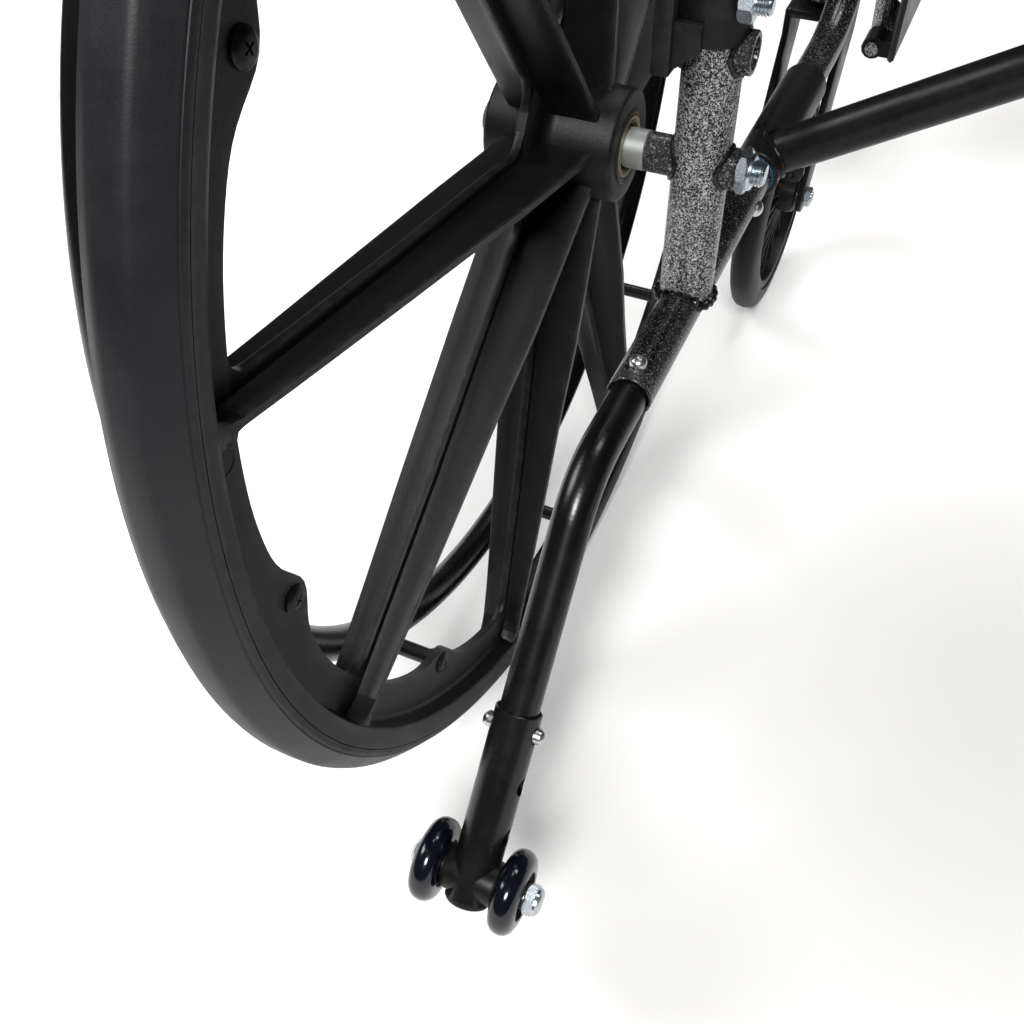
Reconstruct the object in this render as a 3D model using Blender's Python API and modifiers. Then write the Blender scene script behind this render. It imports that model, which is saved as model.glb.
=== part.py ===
# Lightweight folding wheelchair, one object for each separate piece.
# Metres, +Z up, the sitter faces -Y and the sitter's left is +X.
# The left half is modelled, and the right half is its mirror image.

import math

import bmesh
import bpy
from mathutils import Matrix, Vector

for old in list(bpy.data.objects):
    bpy.data.objects.remove(old)

# Fits
WELD_GAP = 0.0003
SLIP = 0.0004

# Rear wheel
TYRE_R = 0.2975
TYRE_DEPTH = 0.0117
TYRE_HALF = 0.0125
RIM_R = TYRE_R - TYRE_DEPTH
RIM_HALF = 0.0125
BED_R = RIM_R - 0.0095
WEB_IN_R = RIM_R - 0.0258
WEB_HALF = 0.002
SCREW_R = RIM_R - 0.0293
AXLE_Z = TYRE_R
AXLE_STEP = 0.0508
AXLE_TUBE_R = 0.00875
AXLE_BOLT_R = 0.00555
AXLE_NUT_R = 0.0101
AXLE_TUBE_IN = 0.0170
AXLE_TUBE_OUT = 0.0240
WHEEL_X = 0.2775
SPOKES = 9
RING_SIDES = 36
SPOKE_START = math.radians(11.0)
HUB_R = 0.025
HUB_IN_X = 0.252
HUB_OUT_X = 0.313
HUB_PLATE_R = 0.047
HUB_PLATE_X = 0.2851
BEARING_R = 0.0160
HANDRIM_R = SCREW_R
HANDRIM_TUBE_R = 0.0085
HANDRIM_X = 0.3175
RIB_EDGE = 0.0018
RIB_ROOT = 0.0028
SPOKE_HALF = 0.006
SPOKE_PLATE = 0.002
# Distance from the axle, then the rib's inboard edge, its outboard edge and the plate's
# middle, each across the wheel from its mid-plane
SPOKE_STATIONS = (
    (HUB_R * 0.8, -0.0170, 0.0258, 0.0085),
    (RIM_R * 0.224, -0.0170, 0.0237, 0.0064),
    (RIM_R * 0.700, -0.0130, 0.0154, 0.0012),
    (BED_R + 0.0012, -0.0098, 0.0105, 0.0003),
)

# Frame tubing; heights are taken from the axle
TUBE_R = 0.0127
RAIL_R = 0.0106
STUB_BORE_R = 0.0094
FRAME_X = 0.218
RAIL_Z = AXLE_Z - 0.072
UPPER_Z = AXLE_Z + 0.143
SEAT_Z = AXLE_Z + 0.190
FRONT_Y = -0.372
LOWER_BEND_R = 0.088
UPPER_BEND_R = 0.045
STUB_END_Y = 0.080
CRADLE_REAR_Y = -0.060
CRADLE_FRONT_Y = -0.300
CRADLE_HALF = 0.014

# Back cane and push handle
CANE_LEAN_Z = AXLE_Z + 0.215
CANE_LEAN = math.radians(6.0)
HANDLE_Z = AXLE_Z + 0.600
CANE_BEND_R = 0.100
HANDLE_BEND_R = 0.050
HANDLE_END_Y = 0.200
GRIP_R = 0.017
GRIP_LENGTH = 0.112

# Caster
CASTER_X = 0.240
CASTER_Y = -0.396
CASTER_TRAIL = 0.060
CASTER_R = 0.0925
CASTER_TYRE_HALF = 0.0105
CASTER_RIM_R = CASTER_R - 0.0165
CASTER_RIM_DEPTH = 0.007
CASTER_SIDES = 24
CASTER_SPOKES = 6
HOUSING_R = 0.019
HOUSING_LOW = RAIL_Z - 0.007
HOUSING_HIGH = RAIL_Z + 0.065
STEM_R = 0.0063
FORK_IN = 0.0180
FORK_THICK = 0.0050
FORK_FRONT = 0.021
FORK_REAR = 0.023
FORK_FOOT_R = 0.0125
CROWN_DROP = 0.005
CROWN_THICK = 0.013
CASTER_BOLT_R = 0.0040
CASTER_NUT_R = 0.0075
# Height above the rail and the plate's rear edge
GUSSETS = ((0.017, -0.334), (0.051, -0.362))
GUSSET_THICK = 0.005

# Cross-brace
BRACE_R = 0.0111
DIAGONAL_R = 0.0122
BRACE_Y = -0.1285
BRACE_OFFSET = 0.0138
SLEEVE_AHEAD = 0.0950
SLEEVE_BEHIND = 0.0150
SLEEVE_R = 0.0140
SEAT_RAIL_REAR_Y = -0.026
SEAT_RAIL_FRONT_Y = -0.426
CENTRE_BOLT_R = 0.0042

# Anti-tipper
AT_TUBE_R = 0.0088
AT_START_Y = 0.016
AT_CORNER_Y = 0.1324
AT_BEND_R = 0.045
AT_ANGLE = math.radians(49.0)
AT_TUBE_END = 0.124
AT_SLEEVE_R = 0.0105
AT_SLEEVE_TOP = 0.1045
AT_SLEEVE_END = 0.196
AT_PIN_AT = 0.1133
AT_HOLE_STEP = 0.0238
AT_HOLE_R = 0.0043
AT_WHEEL_AT = 0.1838
AT_WHEEL_R = 0.0188
AT_WHEEL_WIDTH = 0.012
AT_WHEEL_X = 0.0190
AT_BOLT_R = 0.0040
AT_SPACER_R = 0.0100
BUTTON_Y = 0.069
BUTTON_R = 0.0040
BUTTON_TIP = 0.0147
PIN_R = 0.0036
PIN_TIP = 0.0146
PIN_FOOT = 0.0040

# Legrest
HANGER_PIVOT_Y = -0.402
HANGER_TUBE_Y = -0.428
HANGER_R = 0.0111
HANGER_BORE_R = 0.0099
HANGER_FOOT_Z = RAIL_Z + 0.079
HANGER_TOP_Z = RAIL_Z + 0.207
HANGER_REACH_Y = -0.500
HANGER_LOW_Z = RAIL_Z - 0.043
LEG_ANGLE = math.radians(70.0)
LUG_LOW_Z = RAIL_Z + 0.081
LUG_HIGH_Z = RAIL_Z + 0.155
LUG_THICK = 0.004
LUG_PIN_R = 0.0045
COLLAR_THICK = 0.0076
LATCH_LOW_Z = RAIL_Z + 0.112
LATCH_THICK = 0.012
FOOT_TUBE_R = 0.0095
FOOT_TUBE_TOP_Z = RAIL_Z + 0.097
FOOT_PIN_Z = RAIL_Z - 0.118
FOOT_PIN_R = 0.0060
KNUCKLE_R = 0.0100
PLATE_FRONT_Y = -0.712
PLATE_REAR_Y = -0.568
PLATE_REACH = 0.155
PLATE_THICK = 0.006
PLATE_OFFSET = 0.0155

# Armrest
ARM_X = 0.248
ARM_R = 0.0095
ARM_FRONT_Y = -0.270
ARM_TOP_Z = UPPER_Z + 0.259
ARM_BEND_R = 0.040
ARM_LOW_Z = UPPER_Z + 0.007
ARM_PIVOT_Z = UPPER_Z + 0.022
ARM_PIN_R = 0.0045
ARM_SOCKET_Z = UPPER_Z + 0.001
GUARD_CORNER_R = 0.030
PAD_WIDTH = 0.040
PAD_HEIGHT = 0.024
PAD_SHIFT = 0.006
PAD_FRONT_Y = -0.262
PAD_REAR_Y = -0.020
SADDLE_THICK = 0.0050
SADDLE_LOW_Z = AXLE_Z + 0.0605
SADDLE_HIGH_Z = AXLE_Z + 0.157
SADDLE_BOLT_Z = AXLE_Z + 0.072
RIB_IN = 0.0120
RIB_OUT = 0.0205
RIB_LOW_Z = AXLE_Z + 0.044
RIB_REAR_Y = 0.0215

# Wheel lock; its shoe stands clear of the tyre by the gap
LOCK_Z = AXLE_Z + 0.119
LOCK_STUD_R = 0.0050
LOCK_SHOE_R = 0.0065
LOCK_SHOE_Z = AXLE_Z + 0.071
LOCK_SHOE_GAP = 0.008
LOCK_SHOE_Y = -math.sqrt((TYRE_R + LOCK_SHOE_R + LOCK_SHOE_GAP) ** 2 - (LOCK_SHOE_Z - AXLE_Z) ** 2)
LOCK_Y = LOCK_SHOE_Y - 0.0105
LOCK_HANDLE_Z = LOCK_Z + 0.176
LOCK_LEVER_X = 0.252

# Upholstery
SLING_THICK = 0.0016
SEAT_SAG = 0.018
BACK_SAG = 0.022
BACK_LOW_Z = AXLE_Z + 0.225
BACK_HIGH_Z = AXLE_Z + 0.551

chair = bpy.data.collections.new("wheelchair")
bpy.context.scene.collection.children.link(chair)


# Finishes: base colour, roughness, metallic
FINISHES = {
    "silver_vein": ((0.16, 0.16, 0.165, 1.0), 0.45, 0.7),
    "black_steel": ((0.012, 0.012, 0.013, 1.0), 0.35, 0.0),
    "gloss_black": ((0.008, 0.008, 0.010, 1.0), 0.15, 0.0),
    "zinc": ((0.60, 0.60, 0.58, 1.0), 0.32, 1.0),
    "black_plastic": ((0.014, 0.014, 0.015, 1.0), 0.5, 0.0),
    "navy_urethane": ((0.006, 0.008, 0.018, 1.0), 0.22, 0.0),
    "grey_tyre": ((0.060, 0.064, 0.070, 1.0), 0.55, 0.0),
    "cream_seal": ((0.55, 0.42, 0.27, 1.0), 0.5, 0.0),
    "vinyl": ((0.018, 0.018, 0.019, 1.0), 0.6, 0.0),
    "nylon": ((0.015, 0.015, 0.017, 1.0), 0.8, 0.0),
}


def finish(name):
    """One Principled material for one node."""
    colour, roughness, metallic = FINISHES[name]
    material = bpy.data.materials.new(name)
    material.use_nodes = True
    shader = material.node_tree.nodes["Principled BSDF"]
    shader.inputs["Base Color"].default_value = colour
    shader.inputs["Roughness"].default_value = roughness
    shader.inputs["Metallic"].default_value = metallic
    material.diffuse_color = colour
    return material


def from_bmesh(bm):
    """A linked object from a bmesh, closed and facing out."""
    bmesh.ops.remove_doubles(bm, verts=bm.verts, dist=0.00001)
    bmesh.ops.recalc_face_normals(bm, faces=bm.faces)
    mesh = bpy.data.meshes.new("piece")
    bm.to_mesh(mesh)
    bm.free()
    obj = bpy.data.objects.new("piece", mesh)
    chair.objects.link(obj)
    return obj


def along(start, end):
    """The matrix that carries the local Z axis onto the line, centred on it."""
    start = Vector(start)
    end = Vector(end)
    turn = (end - start).to_track_quat("Z", "Y").to_matrix().to_4x4()
    return Matrix.Translation((start + end) / 2) @ turn


def rod(start, end, radius, sides=12, end_radius=None):
    """A solid round bar, or a cone, between two points."""
    bm = bmesh.new()
    bmesh.ops.create_cone(
        bm,
        cap_ends=True,
        segments=sides,
        radius1=radius,
        radius2=radius if end_radius is None else end_radius,
        depth=(Vector(end) - Vector(start)).length,
        matrix=along(start, end),
    )
    return from_bmesh(bm)


def block(low, high):
    """A rectangular block between two corners."""
    low = Vector(low)
    high = Vector(high)
    size = high - low
    bm = bmesh.new()
    place = Matrix.Translation((low + high) / 2)
    bmesh.ops.create_cube(bm, size=1.0, matrix=place @ Matrix.Diagonal((*size, 1.0)))
    return from_bmesh(bm)


def lathe(profile, centre, axis, sides):
    """A closed profile of (distance along the axis, radius) turned about the axis."""
    bm = bmesh.new()
    corners = [bm.verts.new((radius, 0.0, height)) for height, radius in profile]
    edges = [bm.edges.new((a, b)) for a, b in zip(corners, corners[1:] + corners[:1])]
    bmesh.ops.spin(
        bm,
        geom=corners + edges,
        cent=(0.0, 0.0, 0.0),
        axis=(0.0, 0.0, 1.0),
        angle=math.tau,
        steps=sides,
        use_merge=True,
    )
    turn = Vector(axis).to_track_quat("Z", "Y").to_matrix().to_4x4()
    bmesh.ops.transform(bm, matrix=Matrix.Translation(centre) @ turn, verts=bm.verts)
    return from_bmesh(bm)


def ring_tube(start, end, outer, bore, sides=20):
    """A straight tube with an open bore."""
    length = (Vector(end) - Vector(start)).length
    profile = [(0.0, bore), (0.0, outer), (length, outer), (length, bore)]
    return lathe(profile, start, Vector(end) - Vector(start), sides)


def filleted(corners, radii, steps):
    """Points along a path whose inner corners are rounded to the given radii."""
    corners = [Vector(c) for c in corners]
    points = [corners[0]]
    for before, corner, after, radius in zip(corners, corners[1:], corners[2:], radii):
        into = (corner - before).normalized()
        out = (after - corner).normalized()
        turn = into.angle(out)
        reach = radius * math.tan(turn / 2)
        centre = corner + (out - into).normalized() * (radius / math.cos(turn / 2))
        start = corner - into * reach - centre
        axis = into.cross(out).normalized()
        count = max(2, math.ceil(steps * turn / (math.pi / 2)))
        for i in range(count + 1):
            points.append(centre + Matrix.Rotation(turn * i / count, 3, axis) @ start)
    points.append(corners[-1])
    return points


def bent_tube(corners, radii, radius, resolution=4, steps=4):
    """A bent round bar: a bevelled curve along a filleted path, made into a mesh."""
    points = filleted(corners, radii, steps)
    curve = bpy.data.curves.new("path", "CURVE")
    curve.dimensions = "3D"
    curve.bevel_depth = radius
    curve.bevel_resolution = resolution
    curve.render_resolution_u = 0
    curve.use_fill_caps = True
    spline = curve.splines.new("POLY")
    spline.points.add(len(points) - 1)
    for point, place in zip(spline.points, points):
        point.co = (*place, 1.0)
    path = bpy.data.objects.new("path", curve)
    chair.objects.link(path)
    bpy.context.view_layer.update()
    graph = bpy.context.evaluated_depsgraph_get()
    mesh = bpy.data.meshes.new_from_object(path.evaluated_get(graph))
    bpy.data.objects.remove(path)
    bm = bmesh.new()
    bm.from_mesh(mesh)
    return from_bmesh(bm)


def combine(target, others, operation):
    """Exact Boolean of the target with each other solid, which is used up."""
    for other in others:
        step = target.modifiers.new("step", "BOOLEAN")
        step.operation = operation
        step.solver = "EXACT"
        step.object = other
    bpy.context.view_layer.update()
    graph = bpy.context.evaluated_depsgraph_get()
    mesh = bpy.data.meshes.new_from_object(target.evaluated_get(graph))
    target.modifiers.clear()
    target.data = mesh
    for other in others:
        bpy.data.objects.remove(other)
    bm = bmesh.new()
    bm.from_mesh(mesh)
    bmesh.ops.remove_doubles(bm, verts=bm.verts, dist=0.00002)
    bmesh.ops.dissolve_degenerate(bm, dist=0.00002, edges=bm.edges)
    bm.to_mesh(mesh)
    bm.free()
    return target


def union(target, *others):
    return combine(target, others, "UNION")


def cut(target, *others):
    return combine(target, others, "DIFFERENCE")


def bevelled(obj, width, segments=2, angle=30.0):
    """Rounded edges, applied."""
    step = obj.modifiers.new("round", "BEVEL")
    step.width = width
    step.segments = segments
    step.limit_method = "ANGLE"
    step.angle_limit = math.radians(angle)
    return combine(obj, (), "UNION")


def outline_plate(points, low, high, axis):
    """A flat plate: an outline extruded from low to high along X (its points are Y, Z),
    Y (X, Z) or Z (X, Y)."""
    bm = bmesh.new()
    index = "XYZ".index(axis)
    corners = []
    for a, b in points:
        place = [a, b]
        place.insert(index, low)
        corners.append(bm.verts.new(place))
    face = bm.faces.new(corners)
    lifted = bmesh.ops.extrude_face_region(bm, geom=[face])
    shift = [0.0, 0.0, 0.0]
    shift[index] = high - low
    moved = [v for v in lifted["geom"] if isinstance(v, bmesh.types.BMVert)]
    bmesh.ops.translate(bm, vec=shift, verts=moved)
    return from_bmesh(bm)


def round_end(centre, radius, start, end, count=8):
    """Points on an arc, in degrees."""
    points = []
    for i in range(count + 1):
        angle = math.radians(start + (end - start) * i / count)
        points.append((centre[0] + radius * math.cos(angle), centre[1] + radius * math.sin(angle)))
    return points


# Directions of the two sloping tubes, and points along them
AT_DIRECTION = Vector((0.0, math.cos(AT_ANGLE), -math.sin(AT_ANGLE)))
AT_CORNER = Vector((FRAME_X, AT_CORNER_Y, RAIL_Z))
LEG_DIRECTION = Vector((0.0, -math.cos(LEG_ANGLE), -math.sin(LEG_ANGLE)))
LEG_CORNER = Vector((FRAME_X, HANGER_REACH_Y, HANGER_TOP_Z))
AT_AXLE = AT_CORNER + AT_DIRECTION * AT_WHEEL_AT


def at_point(distance):
    """A point on the anti-tipper's sloping leg, from the corner of its bend."""
    return AT_CORNER + AT_DIRECTION * distance


def leg_point(height):
    """The point on the legrest's sloping axis at a height."""
    return LEG_CORNER + LEG_DIRECTION * ((HANGER_TOP_Z - height) / math.sin(LEG_ANGLE))


FOOT_PIN = leg_point(FOOT_PIN_Z)


def cane_y(height):
    """The leaning back cane's Y at a height above its bend."""
    return (height - CANE_LEAN_Z) * math.tan(CANE_LEAN)


def side_frame():
    """Lower rail, front upright and upper rail in one bent tube, with the welded fittings."""
    tube = bent_tube(
        [
            (FRAME_X, STUB_END_Y, RAIL_Z),
            (FRAME_X, FRONT_Y, RAIL_Z),
            (FRAME_X, FRONT_Y, UPPER_Z),
            (FRAME_X, -TUBE_R - WELD_GAP, UPPER_Z),
        ],
        [LOWER_BEND_R, UPPER_BEND_R],
        RAIL_R,
    )
    housing = rod((CASTER_X, CASTER_Y, HOUSING_LOW), (CASTER_X, CASTER_Y, HOUSING_HIGH), HOUSING_R, 14)
    gussets = []
    for rise, rear in GUSSETS:
        height = RAIL_Z + rise
        plate = [
            (FRAME_X - 0.006, rear),
            (FRAME_X + 0.010, rear),
            (CASTER_X + HOUSING_R * 0.9, CASTER_Y),
            (CASTER_X - HOUSING_R * 0.9, CASTER_Y),
        ]
        gussets.append(outline_plate(plate, height, height + GUSSET_THICK, "Z"))
    lugs = []
    for height in (LUG_LOW_Z, LUG_HIGH_Z):
        lugs.append(
            block(
                (FRAME_X - 0.011, HANGER_PIVOT_Y - 0.009, height),
                (FRAME_X + 0.011, FRONT_Y, height + LUG_THICK),
            )
        )
        lugs.append(
            rod(
                (FRAME_X, HANGER_PIVOT_Y, height + LUG_THICK / 2),
                (FRAME_X, HANGER_PIVOT_Y, height + LUG_THICK + COLLAR_THICK + 0.008),
                LUG_PIN_R,
                12,
            )
        )
    cradles = []
    for place in (CRADLE_REAR_Y, CRADLE_FRONT_Y):
        cradles.append(
            block(
                (FRAME_X - 0.0165, place - CRADLE_HALF, UPPER_Z + RAIL_R * 0.6),
                (FRAME_X + 0.0165, place + CRADLE_HALF, SEAT_Z - 0.002),
            )
        )
    socket = block(
        (FRAME_X + RAIL_R * 0.6, ARM_FRONT_Y - 0.015, ARM_SOCKET_Z - 0.020),
        (ARM_X + ARM_R + 0.003, ARM_FRONT_Y + 0.015, ARM_SOCKET_Z + 0.008),
    )
    lock_plate = outline_plate(
        [
            (LOCK_Y - 0.014, LOCK_Z - 0.012),
            (LOCK_Y + 0.024, LOCK_Z - 0.012),
            (LOCK_Y + 0.024, UPPER_Z + 0.007),
            (LOCK_Y - 0.014, UPPER_Z + 0.004),
        ],
        FRAME_X + RAIL_R * 0.75,
        FRAME_X + RAIL_R + 0.009,
        "X",
    )
    stud = rod(
        (FRAME_X + RAIL_R, LOCK_Y, LOCK_Z),
        (LOCK_LEVER_X + 0.010, LOCK_Y, LOCK_Z),
        LOCK_STUD_R,
        12,
    )
    frame = union(tube, housing, *gussets, *lugs, *cradles, socket, lock_plate, stud)
    stub_bore = rod((FRAME_X, 0.014, RAIL_Z), (FRAME_X, STUB_END_Y + 0.01, RAIL_Z), STUB_BORE_R)
    button_hole = rod(
        (FRAME_X, BUTTON_Y, RAIL_Z),
        (FRAME_X, BUTTON_Y, RAIL_Z + 0.02),
        BUTTON_R + SLIP,
        12,
    )
    stem_bore = rod(
        (CASTER_X, CASTER_Y, HOUSING_LOW - 0.01),
        (CASTER_X, CASTER_Y, HOUSING_HIGH - 0.008),
        STEM_R + SLIP,
    )
    rail_groove = rod(
        (FRAME_X, 0.0, SEAT_Z),
        (FRAME_X, FRONT_Y - 0.05, SEAT_Z),
        BRACE_R + SLING_THICK + 2 * SLIP,
    )
    arm_cup = rod(
        (ARM_X, ARM_FRONT_Y, ARM_SOCKET_Z - WELD_GAP),
        (ARM_X, ARM_FRONT_Y, ARM_SOCKET_Z + 0.02),
        ARM_R + 0.001,
    )
    return cut(frame, stub_bore, button_hole, stem_bore, rail_groove, arm_cup)


def back_cane():
    """Rear post that leans back above the seat and ends in the push handle."""
    tube = bent_tube(
        [
            (FRAME_X, 0.0, RAIL_Z + RAIL_R + WELD_GAP),
            (FRAME_X, 0.0, CANE_LEAN_Z),
            (FRAME_X, cane_y(HANDLE_Z), HANDLE_Z),
            (FRAME_X, HANDLE_END_Y, HANDLE_Z),
        ],
        [CANE_BEND_R, HANDLE_BEND_R],
        TUBE_R,
    )
    inboard = FRAME_X - AXLE_TUBE_IN
    outboard = FRAME_X + AXLE_TUBE_OUT
    sleeves = [
        rod((inboard, 0.0, z), (outboard, 0.0, z), AXLE_TUBE_R)
        for z in (AXLE_Z, AXLE_Z + AXLE_STEP)
    ]
    bores = [
        rod((inboard - 0.01, 0.0, z), (outboard + 0.01, 0.0, z), AXLE_BOLT_R + SLIP)
        for z in (AXLE_Z, AXLE_Z + AXLE_STEP)
    ]
    return cut(union(tube, *sleeves), *bores)


def push_grip():
    """Moulded grip over the end of the push handle."""
    start = HANDLE_END_Y - GRIP_LENGTH
    end = HANDLE_END_Y + 0.008
    bore = TUBE_R + SLIP
    profile = [
        (0.0, bore),
        (0.0, GRIP_R + 0.004),
        (0.005, GRIP_R + 0.004),
        (0.009, GRIP_R),
        (GRIP_LENGTH * 0.5, GRIP_R + 0.0015),
        (GRIP_LENGTH, GRIP_R),
        (end - start - 0.004, GRIP_R - 0.001),
        (end - start, GRIP_R - 0.006),
        (end - start, 0.0),
        (HANDLE_END_Y - start + WELD_GAP, 0.0),
        (HANDLE_END_Y - start + WELD_GAP, bore),
    ]
    return lathe(profile, (FRAME_X, start, HANDLE_Z), (0.0, 1.0, 0.0), 12)


def arm_bracket():
    """Moulded saddle over the post's rear side, with a rib, the side plate that carries
    the armrest's pivot pin, and its through-bolt's nut."""
    centre = (FRAME_X, 0.0)
    inner = TUBE_R + WELD_GAP
    outer = TUBE_R + SADDLE_THICK
    steps = 9
    sweep = 188.0
    corner = inner / math.cos(math.radians((2 * sweep - 180.0) / (2 * steps)))
    wall = round_end(centre, outer, 180.0 - sweep, sweep, steps)
    wall += round_end(centre, corner, sweep, 180.0 - sweep, steps)
    saddle = outline_plate(wall, SADDLE_LOW_Z, SADDLE_HIGH_Z, "Z")
    rib = block(
        (FRAME_X + RIB_IN, 0.0095, RIB_LOW_Z),
        (FRAME_X + RIB_OUT, RIB_REAR_Y, SADDLE_HIGH_Z),
    )
    web = outline_plate(
        [
            (FRAME_X + RIB_IN + 0.002, RIB_LOW_Z + 0.001),
            (FRAME_X + RIB_IN + 0.002, SADDLE_LOW_Z + 0.010),
            (FRAME_X + 0.001, SADDLE_LOW_Z + 0.010),
            (FRAME_X + 0.001, SADDLE_LOW_Z - 0.001),
        ],
        inner + 0.0015,
        outer + 0.001,
        "Y",
    )
    bar_in = FRAME_X + 0.0165
    bar_out = ARM_X - ARM_R - 0.0010
    bar = outline_plate(
        [(-0.0112, SADDLE_LOW_Z + 0.012), (0.0112, SADDLE_LOW_Z + 0.003)]
        + round_end((0.0, ARM_PIVOT_Z), 0.0112, 0.0, 180.0, 6),
        bar_in,
        bar_out,
        "X",
    )
    pin = rod((bar_in, 0.0, ARM_PIVOT_Z), (ARM_X + ARM_R + 0.0015, 0.0, ARM_PIVOT_Z), ARM_PIN_R)
    head = rod(
        (ARM_X + ARM_R + 0.0005, 0.0, ARM_PIVOT_Z),
        (ARM_X + ARM_R + 0.0023, 0.0, ARM_PIVOT_Z),
        0.0075,
    )
    nut_face = FRAME_X - outer + 0.001
    nut = rod((nut_face - 0.0065, 0.0, SADDLE_BOLT_Z), (nut_face, 0.0, SADDLE_BOLT_Z), 0.0074, 6)
    bolt = rod((nut_face - 0.0125, 0.0, SADDLE_BOLT_Z), (nut_face, 0.0, SADDLE_BOLT_Z), 0.0040)
    saddle = union(saddle, rib, web, nut, bolt)
    return union(saddle, union(bar, pin, head))


def axle_bolt():
    """Through-bolt of the rear wheel with its head, spacer and nut."""
    nut_face = FRAME_X - AXLE_TUBE_IN - WELD_GAP
    shaft = rod((nut_face - 0.0118, 0.0, AXLE_Z), (HUB_OUT_X + 0.004, 0.0, AXLE_Z), AXLE_BOLT_R, 16)
    nut = rod((nut_face - 0.0058, 0.0, AXLE_Z), (nut_face, 0.0, AXLE_Z), AXLE_NUT_R, 6)
    spacer = rod(
        (FRAME_X + AXLE_TUBE_OUT + WELD_GAP, 0.0, AXLE_Z),
        (HUB_IN_X - 0.0013, 0.0, AXLE_Z),
        0.0085,
        16,
    )
    head = rod((HUB_OUT_X + WELD_GAP, 0.0, AXLE_Z), (HUB_OUT_X + 0.0075, 0.0, AXLE_Z), AXLE_NUT_R, 6)
    return union(shaft, nut, spacer, head)


def about_axle(obj):
    """Turns a piece of the wheel to where its first spoke stands."""
    turn = Matrix.Rotation(SPOKE_START, 4, "X")
    place = Matrix.Translation((0.0, 0.0, AXLE_Z))
    obj.data.transform(place @ turn @ place.inverted())
    return obj


def spoke(angle):
    """One spoke of cross-shaped section, a thin plate with a deep rib across it, lofted
    from the hub to the rim's bed."""
    bm = bmesh.new()
    outward = Vector((0.0, math.cos(angle), math.sin(angle)))
    across = Vector((0.0, -math.sin(angle), math.cos(angle)))
    sideways = Vector((1.0, 0.0, 0.0))
    loops = []
    for radius, low, high, plate in SPOKE_STATIONS:
        near = plate - SPOKE_PLATE
        far = plate + SPOKE_PLATE
        section = [
            (-RIB_EDGE, low), (RIB_EDGE, low), (RIB_ROOT, near), (SPOKE_HALF, near),
            (SPOKE_HALF, far), (RIB_ROOT, far), (RIB_EDGE, high), (-RIB_EDGE, high),
            (-RIB_ROOT, far), (-SPOKE_HALF, far), (-SPOKE_HALF, near), (-RIB_ROOT, near),
        ]
        centre = Vector((WHEEL_X, 0.0, AXLE_Z)) + outward * radius
        loops.append([bm.verts.new(centre + across * t + sideways * a) for t, a in section])
    for inner, outer in zip(loops, loops[1:]):
        for i in range(12):
            j = (i + 1) % 12
            bm.faces.new((inner[i], inner[j], outer[j], outer[i]))
    bm.faces.new(loops[0])
    bm.faces.new(loops[-1])
    return from_bmesh(bm)


def screw_place(k):
    """Where the handrim's screw k stands, half way between two spokes."""
    angle = math.tau * (k + 0.5) / SPOKES
    return Vector((0.0, SCREW_R * math.cos(angle), AXLE_Z + SCREW_R * math.sin(angle)))


def screw_lobe(k):
    """The rim web's pointed lobe around the handrim's screw k."""
    middle = math.tau * (k + 0.5) / SPOKES
    outline = []
    half = [(13.0, WEB_IN_R + 0.003), (9.0, SCREW_R + 0.0012), (4.5, SCREW_R - 0.0020), (1.5, SCREW_R - 0.0068)]
    for degrees, radius in [(-turn, reach) for turn, reach in half] + half[::-1]:
        angle = middle + math.radians(degrees)
        outline.append((radius * math.cos(angle), AXLE_Z + radius * math.sin(angle)))
    inset = WEB_HALF - 0.0002
    return outline_plate(outline, WHEEL_X - inset, WHEEL_X + inset, "X")


def wheel():
    """One-piece composite wheel: rim, web, nine ribbed spokes and hub barrel."""
    flange = RIM_HALF - 0.002
    profile = [
        (-RIM_HALF, RIM_R), (-flange, BED_R + 0.001), (-WEB_HALF, BED_R), (-WEB_HALF, WEB_IN_R),
        (WEB_HALF, WEB_IN_R), (WEB_HALF, BED_R), (flange, BED_R + 0.001), (RIM_HALF, RIM_R),
    ]
    rim = lathe(profile, (WHEEL_X, 0.0, AXLE_Z), (1.0, 0.0, 0.0), RING_SIDES)
    rim = union(rim, *[screw_lobe(k) for k in range(SPOKES)])
    hub = rod((HUB_IN_X, 0.0, AXLE_Z), (HUB_OUT_X, 0.0, AXLE_Z), HUB_R, 18)
    plate = rod((HUB_PLATE_X - 0.0025, 0.0, AXLE_Z), (HUB_PLATE_X + 0.0025, 0.0, AXLE_Z), HUB_PLATE_R, 18)
    step = math.tau / SPOKES
    spokes = [spoke(step * k) for k in range(SPOKES)]
    body = union(hub, plate, *spokes)
    body = union(rim, body)
    holes = []
    for k in range(SPOKES):
        centre = screw_place(k)
        holes.append(
            rod(
                centre + Vector((WHEEL_X - 0.02, 0.0, 0.0)),
                centre + Vector((WHEEL_X + 0.02, 0.0, 0.0)),
                0.0036,
                6,
            )
        )
    holes.append(rod((HUB_IN_X - 0.01, 0.0, AXLE_Z), (HUB_OUT_X + 0.01, 0.0, AXLE_Z), 0.0070, 12))
    holes.append(
        rod((HUB_IN_X - 0.01, 0.0, AXLE_Z), (HUB_IN_X + 0.0085, 0.0, AXLE_Z), BEARING_R + SLIP, 16)
    )
    return about_axle(cut(body, *holes))


def tyre():
    """Solid urethane tyre, flush with the rim's sides, its tread set toward the frame."""
    base = RIM_R + WELD_GAP
    depth = TYRE_R - base
    outline = (
        (-1.0, 0.0), (-0.96, 0.26), (-0.44, 0.88), (-0.28, 1.0),
        (0.36, 1.0), (0.68, 0.85), (1.0, 0.63), (1.0, 0.0),
    )
    profile = [(TYRE_HALF * a, base + depth * b) for a, b in outline]
    return about_axle(lathe(profile, (WHEEL_X, 0.0, AXLE_Z), (1.0, 0.0, 0.0), RING_SIDES))


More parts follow.
